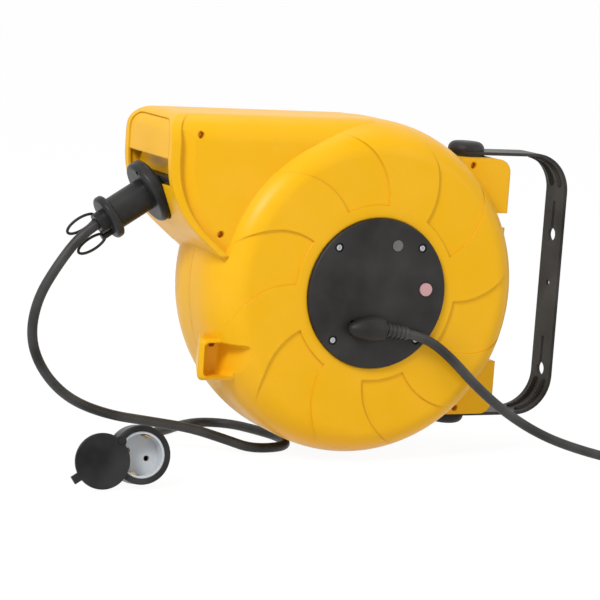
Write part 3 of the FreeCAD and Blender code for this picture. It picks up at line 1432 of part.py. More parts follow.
FLOOR_Y = "(insert_front + 20)"
grip = turned(
    "grip",
    ("insert_rad + run_gap", "0"),
    ("ring_out", "0"),
    ("ring_out", "22"),
    ("grip_rad + 0.5", "28"),
    ("grip_rad", "40"),
    ("grip_rad - 3", "62"),
    ("tail_rad", "coupling_long"),
    ("cord_dia / 2 + run_gap", "coupling_long"),
    ("cord_dia / 2 + run_gap", "coupling_long - 14"),
    ("0", "coupling_long - 14"),
    ("0", FLOOR_Y + " + run_gap"),
    ("insert_rad + run_gap", FLOOR_Y + " + run_gap"),
)
softened(grip, "2", ("ring_out", "0"), ("ring_out", "22"))
grip_cuts = []
sockets = []
insert_cuts = []
for index, side in enumerate((-1, 1)):
    across = f"{side} * contact_apart / 2 * cos(contact_turn)"
    up = f"{side} * contact_apart / 2 * sin(contact_turn)"
    grip_cuts.append(rod(f"socket_room_{index}", "pin_dia / 2 + 0.9 + run_gap", "21", across, FLOOR_Y, up,
                         roll="-90"))
    tube_out = rod(f"socket_out_{index}", "pin_dia / 2 + 0.9", "20", across, FLOOR_Y + " + 0.3", up, roll="-90")
    tube_in = rod(f"socket_in_{index}", "pin_dia / 2 + run_gap", "24", across, FLOOR_Y + " - 1", up, roll="-90")
    sockets.append(cut(f"socket_{index}", tube_out, tube_in))
    insert_cuts.append(rod(f"insert_hole_{index}", "contact_hole / 2", "10", across, "well_deep - 2", up,
                           roll="-90"))
pin_hole = rod("pin_hole", "lid_pin_dia / 2 + run_gap", "lid_pin_long + 1.5", PIN_X, "-1", PIN_Z, roll="-90")
insert_room = rod("insert_room", "insert_rad + run_gap", "20", "0", "0", "0", roll="-90")
on_coupling(cut("grip_cut", grip, *grip_cuts, pin_hole, insert_room), "coupling_body")
cup = turned(
    "cup",
    ("insert_rad - insert_wall", "insert_front"),
    ("insert_rad", "insert_front"),
    ("insert_rad", FLOOR_Y),
    ("0", FLOOR_Y),
    ("0", "well_deep"),
    ("insert_rad - insert_wall", "well_deep"),
)
on_coupling(cut("cup_cut", cup, *insert_cuts), "coupling_insert")
on_coupling(together("socket_pair", *sockets), "contact_sockets")
clips = []
for index, side in enumerate((-1, 1)):
    low = "insert_rad - insert_wall - 1.9" if side > 0 else "-(insert_rad - insert_wall - 0.5)"
    clip = block(f"clip_{index}", "5", "12", "1.4", "0", "0", "0")
    clips.append(place(clip, f"-2.5 * cos(contact_turn) - ({low}) * sin(contact_turn)", "well_deep - 12",
                       f"-2.5 * sin(contact_turn) + ({low}) * cos(contact_turn)", pitch="-contact_turn"))
on_coupling(together("clip_pair", *clips), "earth_clips")

lid_disc = turned("lid_disc", ("0", "-slide_gap"), ("lid_rad", "-slide_gap"), ("lid_rad", LID_FRONT),
                  ("0", LID_FRONT))
softened(lid_disc, "lid_thick * 0.4", ("lid_rad", LID_FRONT))
eye = rod("lid_eye_disc", "lid_eye", "lid_thick", PIN_X, LID_FRONT, PIN_Z, roll="-90")
tab = block("lid_tab", "lid_tab_long + 3", "lid_thick", "lid_tab_wide", "0", "0", "0")
place(tab, "(lid_rad - 3) * cos(lid_tab_deg) - lid_tab_wide / 2 * sin(lid_tab_deg)", LID_FRONT,
      "-(lid_rad - 3) * sin(lid_tab_deg) - lid_tab_wide / 2 * cos(lid_tab_deg)", pitch="lid_tab_deg")
eye_hole = rod("lid_pin_hole", "lid_pin_dia / 2 + run_gap", "lid_thick + 2", PIN_X, LID_FRONT + " - 1", PIN_Z,
               roll="-90")
shut = cut("lid_shut", fuse("lid_solid", lid_disc, eye, tab), eye_hole)
place(shut, f"{PIN_X} - {PIN_X} * cos(lid_open_deg) - {PIN_Z} * sin(lid_open_deg)", "0",
      f"{PIN_Z} + {PIN_X} * sin(lid_open_deg) - {PIN_Z} * cos(lid_open_deg)", pitch="lid_open_deg")
on_coupling(together("lid_open", shut), "coupling_lid")
HEAD_BACK = LID_FRONT + " - run_gap"
pin_head = rod("lid_pin_head_disc", "lid_pin_dia", "lid_pin_head", PIN_X, HEAD_BACK + " - lid_pin_head", PIN_Z,
               roll="-90")
pin_shank = rod("lid_pin_shank", "lid_pin_dia / 2", "lid_pin_long + slide_gap + lid_thick + 2 * run_gap", PIN_X,
                HEAD_BACK + " - run_gap", PIN_Z, roll="-90")
on_coupling(fuse("lid_pin_solid", pin_head, pin_shank), "lid_pin")

# The cord's free end: down to the floor, back under the reel and round to the coupling.
COUPLING = FreeCAD.Placement(
    Vector(worth("coupling_x"), worth("coupling_y"), worth("coupling_z")),
    FreeCAD.Rotation(worth("coupling_yaw"), 0, worth("coupling_lift")),
)
CORD_IN = COUPLING.multVec(Vector(0, worth("coupling_long") - 14, 0))
CORD_TAIL = COUPLING.multVec(Vector(0, worth("coupling_long") + 14, 0))
floor = FLOOR_CORD
output_points = [CORD_OUT, CORD_OUT + OUTWARD * 17] + points_of(
    (-286, 2, 15),
    (-303, 6, -18),
    (-306, 10, -54),
    (-291, 14, floor + 72.35),
    (-262, 20, floor + 45.35),
    (-222, 25, floor + 29.35),
    (-180, 27, floor + 21.85),
    (-140, 18, floor + 16.35),
    (-108, 6, floor + 6.85),
    (-86, -6, floor),
    (-46, 0, floor),
    (-35, 39, floor),
    (-46, 76, floor),
    (-60, 106, floor),
    (-88, 118, floor),
    (-116, 103, floor),
    (-142, 80, floor),
    (-171, 66, floor),
    (-200, 46, floor),
    (-222, 14, floor),
) + [CORD_TAIL, CORD_IN]
node(drawn("output", tube("output_cord", rounded_run(output_points), cord_r)), "output_cord")

# Supply side: a ribbed boot on the hood, the lead inside, and the supply cord with its plug.
BOOT_LOOSE = "cord_dia / 2 + 9 * run_gap"
boot_corners = [(BOOT_LOOSE, "0")]
ribs = int(worth("boot_ribs"))
for index in range(ribs):
    low = f"boot_long * {index} / boot_ribs"
    mid = f"boot_long * ({index} + 0.55) / boot_ribs"
    top = f"boot_long * ({index} + 1) / boot_ribs"
    wide = f"(boot_neck + (boot_tip - boot_neck) * {index} / boot_ribs) / 2"
    proud = wide + " + boot_rib_tall"
    boot_corners += [(proud, low), (proud, mid), (wide, mid), (wide, top)]
boot_corners.append(("cord_dia / 2 + run_gap", "boot_long"))
boot_corners.append(("cord_dia / 2 + run_gap", "boot_long * 0.4"))
boot_corners.append((BOOT_LOOSE, "boot_long * 0.4"))
sleeve = turned("boot_sleeve", *boot_corners)
place(sleeve, "hood_end", "-hood_out", "-hood_drop", yaw="-90", roll="-boot_tilt")
trim = block("boot_trim", "10", "30", "30", "hood_end - 10 + run_gap", "-hood_out - 15", "-hood_drop - 15")
boot_flat = block("boot_flat", "40", "10", "40", "hood_end", COVER_FRONT + " - slide_gap", "-hood_drop - 20")
NECK_BORE = "cord_dia / 2 + 7 * run_gap"
neck = turned("boot_neck_part", (NECK_BORE, "0"), ("boot_neck / 2 + 2.5", "0"),
              ("boot_neck / 2 + 2.5", "1.9 - run_gap"), ("boot_neck / 2", "1.9 - run_gap"),
              ("boot_neck / 2", "5.7"), (NECK_BORE, "5.7"))
place(neck, "hood_end - hood_wall - 1.9", "-hood_out", "-hood_drop", yaw="-90")
hood_end = worth("hood_end")
HOOD = Vector(hood_end, -worth("hood_out"), -worth("hood_drop"))
boot_tilt = math.radians(worth("boot_tilt"))
CORD_DOWN = Vector(math.cos(boot_tilt), 0, -math.sin(boot_tilt))
SUPPLY_OUT = HOOD + CORD_DOWN * worth("boot_long")
TERMINAL_Y = -worth("cup_floor + 9")
lead_in = [SUPPLY_OUT, HOOD] + points_of((-15, HOOD.y, HOOD.z), (-15, 12 - drum_half, HOOD.z),
                                         (-39, TERMINAL_Y, -24), (-39, TERMINAL_Y, -10))
LEAD_EDGES = rounded_run(lead_in)
node(fuse("boot_solid", cut("boot_sleeve_trimmed", sleeve, trim, boot_flat), neck), "cord_boot")
node(drawn("supply_inner", tube("supply_lead", LEAD_EDGES, cord_r)), "supply_lead")

COIL = Vector(worth("coil_x"), worth("coil_y"), 0)
coil_rad = worth("coil_rad")
pitch = 2 * cord_r + worth("coil_gap")
LAYER_TURNS = worth("coil_turns")
RISE_TURNS = 0.25
coil_end = LAYER_TURNS + RISE_TURNS + worth("coil_end_turns")
PLUG_Z = FLOOR_CORD + pitch + cord_r + worth("plug_rad") + slide_gap


def coil_spot(turns):
    """Where the coil's middle line is after some turns: in on the floor, then out one layer up."""
    inner = coil_rad - pitch * LAYER_TURNS
    if turns < LAYER_TURNS:
        radius = coil_rad - pitch * turns
        height = 0.0
    elif turns < LAYER_TURNS + RISE_TURNS:
        radius = inner
        height = pitch * (turns - LAYER_TURNS) / RISE_TURNS
    else:
        radius = inner + pitch * (turns - LAYER_TURNS - RISE_TURNS)
        height = pitch
    climb = max(0.0, turns - coil_end + RISE_TURNS) * worth("coil_climb")
    return COIL + polar_flat(radius, 360 * turns - 90, FLOOR_CORD + height + climb)


def polar_flat(radius, degrees, z):
    return Vector(radius * math.cos(math.radians(degrees)), radius * math.sin(math.radians(degrees)), z)


def coil_heading(turns):
    step = 0.01
    return (coil_spot(turns + step) - coil_spot(turns - step)).normalize()


def coil_edges():
    edges = []
    quarters = int(round(coil_end * 4))
    spot = coil_spot(0)
    heading = Vector(1, 0, 0)
    for quarter in range(1, quarters + 1):
        after = coil_spot(quarter / 4)
        ending = coil_heading(quarter / 4)
        edges += biarc(spot, heading, after, ending)
        spot = after
        heading = ending
    chord = worth("plug_chord")
    last = Vector(spot.x - chord, spot.y - chord, PLUG_Z)
    edges += biarc(spot, heading, last, Vector(0, -1, 0))
    edges.append(Part.makeLine(last, last + Vector(0, -2 * cord_r, 0)))
    return edges


def least_gap(edges):
    """The least gap between stretches of a tube that lie more than four diameters apart along it."""
    wire = Part.Wire(edges)
    count = int(wire.Length / 1.5)
    spots = [point for edge in edges for point in edge.discretize(max(2, int(edge.Length / 1.5)))]
    along = [0.0]
    for near, far in zip(spots, spots[1:]):
        along.append(along[-1] + (far - near).Length)
    least = FAR
    for index, spot in enumerate(spots):
        for other in range(index + 1, len(spots)):
            if along[other] - along[index] > 8 * cord_r:
                least = min(least, (spots[other] - spot).Length)
    return least - 2 * cord_r, count


supply_points = [SUPPLY_OUT, SUPPLY_OUT + CORD_DOWN * 19] + points_of(
    (76, HOOD.y - 3, -58),
    (105, HOOD.y - 5, -86),
    (140, HOOD.y - 7, -113),
    (180, HOOD.y - 10, -135),
    (222, HOOD.y - 14, -149),
    (262, HOOD.y - 20, floor),
    (305, HOOD.y - 24, floor),
) + [coil_spot(0)]
supply_edges = rounded_run(supply_points) + coil_edges()
gap, checked = least_gap(coil_edges())
print(f"supply_cord: least gap of the coil to itself {gap:.2f} mm over {checked} points")
node(drawn("supply", tube("supply_cord", supply_edges, cord_r)), "supply_cord")
PLUG_AT = supply_edges[-1].Vertexes[-1].Point

PLUG_FACE = "(plug_tail + plug_long)"
plug = turned(
    "plug",
    ("0", "0"),
    ("tail_rad", "0"),
    ("tail_rad + 1", "plug_tail"),
    ("plug_rad - 3", "plug_tail"),
    ("plug_rad", "plug_tail + 5"),
    ("plug_rad", "plug_tail + plug_long - 3"),
    ("plug_rad - 1", "plug_tail + plug_long"),
    ("0", "plug_tail + plug_long"),
)
plug_cuts = []
pins = []
for index, side in enumerate((-1, 1)):
    across = f"{side} * pin_apart / 2"
    plug_cuts.append(rod(f"plug_hole_{index}", "pin_root / 2", "pin_root_long", across,
                         PLUG_FACE + " - pin_root_long", "0", roll="-90"))
    pin = turned(f"plug_pin_{index}", ("0", PLUG_FACE + " - pin_root_long"),
                 ("pin_root / 2", PLUG_FACE + " - pin_root_long"), ("pin_root / 2", PLUG_FACE),
                 ("pin_dia / 2", PLUG_FACE), ("pin_dia / 2", PLUG_FACE + " + pin_long"),
                 ("0", PLUG_FACE + " + pin_long"))
    softened(pin, "pin_dia * 0.35", ("pin_dia / 2", PLUG_FACE + " + pin_long"))
    pins.append(place(pin, across))
FLAT_TURN = FreeCAD.Rotation(180, 0, 0)


def on_cord(thing, name):
    """Moves a thing drawn along +Y to the supply cord's end."""
    spot = PLUG_AT - Vector(worth("axis_to_wall"), 0, 0)
    thing.Placement = FreeCAD.Placement(spot, FLAT_TURN)
    return node(thing, name, moved=False)


on_cord(cut("plug_cut", plug, *plug_cuts), "plug_body")
on_cord(together("pin_pair", *pins), "plug_pins")

document.recompute()
faulty = [thing.Name for thing in document.Objects if {"Invalid", "Error"} & set(thing.State)]
if faulty:
    raise RuntimeError("objects that did not recompute: " + ", ".join(faulty))
os.makedirs("parts", exist_ok=True)
for thing in nodes:
    shape = thing.Shape
    if shape.isNull() or not shape.isValid():
        raise RuntimeError(thing.Label + " has no valid shape")
    shape.exportStep(f"parts/{thing.Label}.step")
print(len(nodes), "sub-parts written")
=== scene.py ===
# %% [markdown]
# This lesson dresses a wall-mounted extension cord reel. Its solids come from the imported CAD
# frame, which already has the true sizes, so the work here is light, camera, soft cords and
# finishes. Every length below is in millimetres about the drum's axis, as in the CAD source,
# and one helper turns such a place into Blender's metres.

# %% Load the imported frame
import math

import bpy
from mathutils import Matrix, Vector


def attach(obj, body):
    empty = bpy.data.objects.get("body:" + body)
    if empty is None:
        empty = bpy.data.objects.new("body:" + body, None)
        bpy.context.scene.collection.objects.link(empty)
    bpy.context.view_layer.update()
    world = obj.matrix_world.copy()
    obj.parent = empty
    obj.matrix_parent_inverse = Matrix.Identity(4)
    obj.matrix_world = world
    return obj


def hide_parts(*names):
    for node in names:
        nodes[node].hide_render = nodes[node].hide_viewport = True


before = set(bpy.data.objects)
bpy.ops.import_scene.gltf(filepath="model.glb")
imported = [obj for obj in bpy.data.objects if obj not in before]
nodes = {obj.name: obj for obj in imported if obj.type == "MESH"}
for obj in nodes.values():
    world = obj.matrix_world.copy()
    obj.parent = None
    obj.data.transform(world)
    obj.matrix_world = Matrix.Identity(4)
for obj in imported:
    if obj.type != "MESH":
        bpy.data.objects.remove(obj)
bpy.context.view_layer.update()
MM = 0.001
AXIS_TO_WALL = 227.5
FLOOR_DROP = 163.0


def reel_spot(x, y, z):
    """A place about the drum's axis, in metres in the frame."""
    return Vector(((x - AXIS_TO_WALL) * MM, y * MM, z * MM))


# %% [markdown]
# The photograph was taken with a long lens from the left and a little above, and the reel leans
# in it by a few degrees. A camera can be placed by hand, but it is surer to build its three
# axes from the measured azimuth, pitch and roll, and write them as the columns of its matrix.

# %% Camera at the photograph's angle
AZIMUTH = math.radians(-25.644)
PITCH = math.radians(8.512)
ROLL = math.radians(4.046)
FOCAL_PIXELS = 2508.6
FRAME_PIXELS = 600
SENSOR_MM = 36.0
CAMERA_AT = Vector((-1.2818, -2.1043, 0.3318))

level = Vector((math.cos(AZIMUTH), math.sin(AZIMUTH), 0))
ground = Vector((math.sin(AZIMUTH), -math.cos(AZIMUTH), 0))
backward = ground * math.cos(PITCH) + Vector((0, 0, math.sin(PITCH)))
upright = backward.cross(level)
right = level * math.cos(ROLL) + upright * math.sin(ROLL)
up = upright * math.cos(ROLL) - level * math.sin(ROLL)

camera_data = bpy.data.cameras.new("photo_camera")
camera_data.sensor_width = SENSOR_MM
camera_data.lens = FOCAL_PIXELS / FRAME_PIXELS * SENSOR_MM
camera_data.clip_end = 50
camera = bpy.data.objects.new("photo_camera", camera_data)
turn = Matrix((right, up, backward)).transposed().to_4x4()
camera.matrix_world = Matrix.Translation(CAMERA_AT) @ turn
bpy.context.collection.objects.link(camera)
bpy.context.scene.camera = camera
print(f"lens {camera_data.lens:.1f} mm")

# %% [markdown]
# The cord that pulls out of the reel is a limp rubber mains lead, 9.3 mm thick. It leaves the
# stopper, drops to the floor, runs under the drum, doubles back and ends in the coupling. A
# mesh swept by hand would show facets, so it is one NURBS curve with a round bevel: its control
# points are the corners of the route, and the curve rounds them as rubber would.

# %% The output cord
CORD_RADIUS = 4.65
FLOOR_CORD = CORD_RADIUS - FLOOR_DROP
BEVEL_STEPS = 5
CURVE_STEPS = 8
NURBS_ORDER = 3


def cord_curve(name, points, radius):
    """A round cord whose centreline is one NURBS spline with these control points."""
    data = bpy.data.curves.new(name, "CURVE")
    data.dimensions = "3D"
    data.bevel_depth = 1.0
    data.bevel_resolution = BEVEL_STEPS
    data.resolution_u = CURVE_STEPS
    data.use_fill_caps = True
    data.twist_mode = "MINIMUM"
    spline = data.splines.new("NURBS")
    spline.points.add(len(points) - 1)
    for point, place in zip(spline.points, points):
        point.co = (*reel_spot(*place), 1.0)
        point.radius = radius * MM
    spline.order_u = NURBS_ORDER
    spline.use_endpoint_u = True
    cord = bpy.data.objects.new(name, data)
    bpy.context.collection.objects.link(cord)
    return cord


def curve_length(cord):
    """The length of the cord's centreline, in metres."""
    bare = cord.data.copy()
    bare.bevel_depth = 0
    probe = bpy.data.objects.new("length_probe", bare)
    bpy.context.collection.objects.link(probe)
    mesh = bpy.data.meshes.new_from_object(probe.evaluated_get(bpy.context.evaluated_depsgraph_get()))
    spots = [vertex.co for vertex in mesh.vertices]
    total = sum((spots[edge.vertices[0]] - spots[edge.vertices[1]]).length for edge in mesh.edges)
    bpy.data.objects.remove(probe)
    bpy.data.curves.remove(bare)
    bpy.data.meshes.remove(mesh)
    return total


STOPPER_TILT = math.radians(32.7)
MOUTH_BEND_RADIUS = 90.0
STOPPER_SLIDE = 17.0
STOPPER_REACH = 59.3
COUPLING_YAW = math.radians(-5.6)
COUPLING_PITCH = math.radians(-11.0)
COUPLING_TAIL = 104.0
CORD_SEAT = 76.0
OUTWARD = Vector((-math.cos(STOPPER_TILT), 0, -math.sin(STOPPER_TILT)))
ALONG = Vector((-math.sin(STOPPER_TILT), 0, math.cos(STOPPER_TILT)))
MOUTH_BEND = Vector((-117.0, 0, 118.0))
STOPPER_AXIS = MOUTH_BEND + OUTWARD * MOUTH_BEND_RADIUS + ALONG * STOPPER_SLIDE
CORD_OUT = STOPPER_AXIS + OUTWARD * STOPPER_REACH
COUPLING_AT = Vector((-246.4, -128.0, -132.6))
COUPLING_TURN = Matrix.Rotation(COUPLING_YAW, 3, "Z") @ Matrix.Rotation(COUPLING_PITCH, 3, "X")
CORD_TAIL = COUPLING_AT + COUPLING_TURN @ Vector((0, COUPLING_TAIL, 0))
CORD_IN = COUPLING_AT + COUPLING_TURN @ Vector((0, CORD_SEAT, 0))

output_route = [
    CORD_OUT,
    CORD_OUT + OUTWARD * 17,
    (-286, 2, 15),
    (-303, 6, -18),
    (-306, 10, -54),
    (-291, 14, -86),
    (-262, 20, -113),
    (-222, 25, -129),
    (-180, 27, -136.5),
    (-140, 18, -142),
    (-108, 6, -151.5),
    (-86, -6, FLOOR_CORD),
    (-46, 0, FLOOR_CORD),
    (-35, 39, FLOOR_CORD),
    (-46, 76, FLOOR_CORD),
    (-60, 106, FLOOR_CORD),
    (-88, 118, FLOOR_CORD),
    (-116, 103, FLOOR_CORD),
    (-142, 80, FLOOR_CORD),
    (-171, 66, FLOOR_CORD),
    (-200, 46, FLOOR_CORD),
    (-222, 14, FLOOR_CORD),
    CORD_TAIL,
    CORD_IN,
]
output_cord = cord_curve("output_cord_rubber", output_route, CORD_RADIUS)
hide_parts("output_cord")
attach(output_cord, "reel")
curve_length(output_cord)
print(f"output cord {curve_length(output_cord):.3f} m")

# %% [markdown]
# The supply cord leaves the round cover through a ribbed boot and runs out of the picture. The
# part that the photograph doesn't show is put away as a neat coil just outside the view, with
# the plug lying on it. The coil is worked out by a loop: it spirals in on the floor, climbs one
# cord's thickness and spirals out again on top, and its points belong to the same spline.

# %% The supply cord and its coil
HOOD_MOUTH = Vector((3.5, -79.0, -31.5))
BOOT_TILT = math.radians(10.0)
BOOT_LONG = 28.0
CORD_DOWN = Vector((math.cos(BOOT_TILT), 0, -math.sin(BOOT_TILT)))
SUPPLY_OUT = HOOD_MOUTH + CORD_DOWN * BOOT_LONG
COIL_MIDDLE = (350.0, -48.0)
COIL_RADIUS = 55.0
COIL_PITCH = 2 * CORD_RADIUS + 0.8
LAYER_TURNS = 1.75
RISE_TURNS = 0.25
COIL_TURNS = LAYER_TURNS + RISE_TURNS + 1.5
POINTS_PER_TURN = 16
PLUG_CHORD = 34.0
PLUG_RADIUS = 18.5
REST_GAP = 0.3
PLUG_Z = FLOOR_CORD + COIL_PITCH + CORD_RADIUS + PLUG_RADIUS + REST_GAP
CLIMB_RATE = 32.0


def coil_place(turns, swell=1.0):
    """Where the coil's centreline is after some turns; swell makes up for the spline cutting corners."""
    inner = COIL_RADIUS - COIL_PITCH * LAYER_TURNS
    if turns < LAYER_TURNS:
        radius = COIL_RADIUS - COIL_PITCH * turns
        height = 0.0
    elif turns < LAYER_TURNS + RISE_TURNS:
        radius = inner
        height = COIL_PITCH * (turns - LAYER_TURNS) / RISE_TURNS
    else:
        radius = inner + COIL_PITCH * (turns - LAYER_TURNS - RISE_TURNS)
        height = COIL_PITCH
    climb = max(0.0, turns - COIL_TURNS + 0.25) * CLIMB_RATE
    angle = math.radians(360 * turns - 90)
    reach = radius * swell
    x = COIL_MIDDLE[0] + reach * math.cos(angle)
    y = COIL_MIDDLE[1] + reach * math.sin(angle)
    return (x, y, FLOOR_CORD + height + climb)


swell = 1 / math.cos(math.pi / POINTS_PER_TURN) ** 0.5
coil_points = [
    coil_place((step + 0.5) / POINTS_PER_TURN, swell) for step in range(int(COIL_TURNS * POINTS_PER_TURN))
]
coil_end = coil_place(COIL_TURNS)
plug_tail = (coil_end[0] - PLUG_CHORD, coil_end[1] - PLUG_CHORD - 2 * CORD_RADIUS, PLUG_Z)
supply_route = [
    SUPPLY_OUT,
    SUPPLY_OUT + CORD_DOWN * 19,
    (76, -82, -58),
    (105, -84, -86),
    (140, -86, -113),
    (180, -89, -135),
    (222, -93, -149),
    (262, -99, FLOOR_CORD),
    (305, -103, FLOOR_CORD),
    (335, -103, FLOOR_CORD),
    *coil_points,
    (coil_end[0] - 12, coil_end[1], coil_end[2] + 4),
    (coil_end[0] - 27, coil_end[1] - 7, coil_end[2] + 10),
    (coil_end[0] - PLUG_CHORD, coil_end[1] - 22, PLUG_Z),
    (coil_end[0] - PLUG_CHORD, coil_end[1] - PLUG_CHORD, PLUG_Z),
    plug_tail,
]
supply_cord = cord_curve("supply_cord_rubber", supply_route, CORD_RADIUS)
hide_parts("supply_cord")
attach(supply_cord, "reel")
curve_length(supply_cord)
print(f"supply cord {curve_length(supply_cord):.3f} m")

# %% [markdown]
# The rest of the cable is wound on the drum. Nothing but the mouth shows it, yet a part that can
# be opened should have true windings: four layers that run to and fro across the drum, each turn
# beside the last. One loop places sixteen control points for every turn of this spline. The two
# leads inside, from the drum to the stopper and from the hood to the terminals, are short curves.

# %% The windings and the leads inside
HUB_RADIUS = 62.0
WOUND_RADIUS = 102.0
WOUND_FRONT = -30.0
WOUND_REAR = 27.0
WOUND_LAYERS = 4
TURNS_PER_LAYER = 5
WOUND_AIR = 0.3
INNER_LAYER = HUB_RADIUS + CORD_RADIUS + WOUND_AIR
LAYER_RISE = (WOUND_RADIUS - WOUND_AIR - CORD_RADIUS - INNER_LAYER) / (WOUND_LAYERS - 1)
CLIMB_TURNS = 0.25


def wound_place(turns):
    """Where the winding's centreline is after some turns from the hub outwards."""
    layer = min(int(turns // TURNS_PER_LAYER), WOUND_LAYERS - 1)
    inside = turns - layer * TURNS_PER_LAYER
    climb = max(0.0, inside - TURNS_PER_LAYER + CLIMB_TURNS) / CLIMB_TURNS
    if layer == WOUND_LAYERS - 1:
        climb = 0.0
    reach = (INNER_LAYER + LAYER_RISE * (layer + climb)) * swell
    share = inside / TURNS_PER_LAYER
    if layer % 2:
        share = 1 - share
    first = WOUND_FRONT + CORD_RADIUS + WOUND_AIR
    last = WOUND_REAR - CORD_RADIUS - WOUND_AIR
    angle = math.radians(90 + 360 * turns)
    return (reach * math.cos(angle), first + (last - first) * share, reach * math.sin(angle))


wound_steps = WOUND_LAYERS * TURNS_PER_LAYER * POINTS_PER_TURN
wound_points = [wound_place(step / POINTS_PER_TURN) for step in range(wound_steps)]
winding = cord_curve("drum_winding", wound_points, CORD_RADIUS)
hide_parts("wound_cable")
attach(winding, "drum")
print(f"winding {curve_length(winding):.2f} m")

lead_out = cord_curve(
    "lead_to_stopper",
    [
        CORD_OUT,
        STOPPER_AXIS + OUTWARD * 30,
        STOPPER_AXIS,
        STOPPER_AXIS - OUTWARD * 40,
        (-115, 0, 125),
        (-55, 0, 118),
        (-8, 0, 107),
        (8, 0, 107),
    ],
    CORD_RADIUS,
)
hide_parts("lead_out_cable")
supply_lead = cord_curve(
    "lead_to_terminals",
    [SUPPLY_OUT, HOOD_MOUTH, (-15, -79, -31.5), (-15, -57, -31.5), (-39, -47, -24), (-39, -47, -10)],
    CORD_RADIUS,
)
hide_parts("supply_lead")
for lead in (lead_out, supply_lead):
    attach(lead, "reel")

# %% [markdown]
# Moulded plastic is never one flat colour. It has a very fine grain, faint flow marks that
# change its gloss, and rounded edges that catch the light. One function builds such a material
# from nodes: noise at two sizes varies the colour and the roughness, a bump gives the grain,
# and a bevel node rounds the edges in shading without touching the CAD mesh.

# %% A helper for moulded and painted finishes
def srgb(text):
    """A colour such as F3B516 as linear numbers."""
    shares = [int(text[start:start + 2], 16) / 255 for start in (0, 2, 4)]
    linear = [share / 12.92 if share <= 0.04045 else ((share + 0.055) / 1.055) ** 2.4 for share in shares]
    return (*linear, 1.0)


def mixed(colour, other, share):
    """A colour taken some share of the way towards another."""
    return tuple(a + (b - a) * share for a, b in zip(colour, other))


WHITE = (1.0, 1.0, 1.0, 1.0)
BLACK = (0.0, 0.0, 0.0, 1.0)
TINT_PATCH = 0.045
TINT_FROM = 0.3
TINT_TO = 0.7
PALE_SHARE = 0.4
GLOSS_PATCH = 0.012
BEVEL_SAMPLES = 6


def finish(name, colour, roughness, grain=0.04, grain_size=0.0008, mottle=0.05, edge=0.0008, metallic=0.0,
           coat=0.0, gloss_change=0.06, specular=0.5):
    """A procedural material; grain is in millimetres, grain_size and edge are in metres."""
    material = bpy.data.materials.new(name)
    material.use_nodes = True
    tree = material.node_tree
    shader = tree.nodes["Principled BSDF"]
    shader.inputs["Metallic"].default_value = metallic
    shader.inputs["Coat Weight"].default_value = coat
    shader.inputs["Specular IOR Level"].default_value = specular
    place = tree.nodes.new("ShaderNodeTexCoord")

    def noise(size, detail):
        made = tree.nodes.new("ShaderNodeTexNoise")
        made.inputs["Scale"].default_value = 1 / size
        made.inputs["Detail"].default_value = detail
        tree.links.new(place.outputs["Object"], made.inputs["Vector"])
        return made.outputs["Fac"]

    broad = noise(TINT_PATCH, 3)
    tint = tree.nodes.new("ShaderNodeValToRGB")
    tint.color_ramp.elements[0].position = TINT_FROM
    tint.color_ramp.elements[1].position = TINT_TO
    tint.color_ramp.elements[0].color = mixed(colour, BLACK, mottle)
    tint.color_ramp.elements[1].color = mixed(colour, WHITE, mottle * PALE_SHARE)
    tree.links.new(broad, tint.inputs["Fac"])
    tree.links.new(tint.outputs["Color"], shader.inputs["Base Color"])

    gloss = tree.nodes.new("ShaderNodeMapRange")
    gloss.inputs["To Min"].default_value = roughness - gloss_change
    gloss.inputs["To Max"].default_value = roughness + gloss_change
    tree.links.new(noise(GLOSS_PATCH, 4), gloss.inputs["Value"])
    tree.links.new(gloss.outputs["Result"], shader.inputs["Roughness"])

    rounded = tree.nodes.new("ShaderNodeBevel")
    rounded.samples = BEVEL_SAMPLES
    rounded.inputs["Radius"].default_value = edge
    bump = tree.nodes.new("ShaderNodeBump")
    bump.inputs["Strength"].default_value = 1.0
    bump.inputs["Distance"].default_value = grain * MM
    tree.links.new(noise(grain_size, 2), bump.inputs["Height"])
    tree.links.new(rounded.outputs["Normal"], bump.inputs["Normal"])
    tree.links.new(bump.outputs["Normal"], shader.inputs["Normal"])
    return material


def dress(material, *names, sharp=32):
    """Gives CAD nodes a finish and smooths their shading between sharp edges."""
    for name in names:
        piece = nodes[name]
        piece.data.materials.clear()
        piece.data.materials.append(material)
        piece.data.shade_smooth()
        piece.data.set_sharp_from_angle(angle=math.radians(sharp))
    print(f"{material.name}: {len(names)} pieces")


# %% [markdown]
# The two shells, the curved plate in the mouth and the ears are injection moulded in a warm
# yellow. The plastic is fairly glossy with a faint grain, and deep places turn orange because
# light bounces between yellow walls, which the renderer works out by itself.

# %% Yellow shells
YELLOW = srgb("F4B708")
yellow_plastic = finish("yellow_moulding", YELLOW, 0.34, grain=0.02, grain_size=0.0011, mottle=0.03,
                        edge=0.0022, specular=0.16)
dress(yellow_plastic, "front_shell", "rear_shell", "mouth_plate")

# %% [markdown]
# The cover, hood, knobs and plug are black plastic with a spark-eroded texture: rougher than the
# shells, so that it shows as dark grey with soft highlights. The stopper and the coupling are
# smoother and blacker, so they have a second finish.

# %% Black parts
CARBON = srgb("1B1817")
black_plastic = finish("black_texture", CARBON, 0.5, grain=0.05, grain_size=0.0007, mottle=0.06,
                       specular=0.25)
dress(
    black_plastic,
    "front_cover",
    "cord_guide",
    "thermal_breaker",
    "brush_holder",
    "slip_ring_carrier",
    "arm_washers",
    "plug_body",
    "drum_hub",
    "drum_front_flange",
    "drum_rear_flange",
    "ratchet_ring",
    "brushes",
    "pivot_knobs",
)
satin_black = finish("black_satin", srgb("100F0F"), 0.36, grain=0.03, grain_size=0.0009, mottle=0.08,
                     specular=0.18)
dress(satin_black, "stopper_front", "stopper_rear", "pull_loops", "coupling_body", "coupling_lid", "lid_pin")

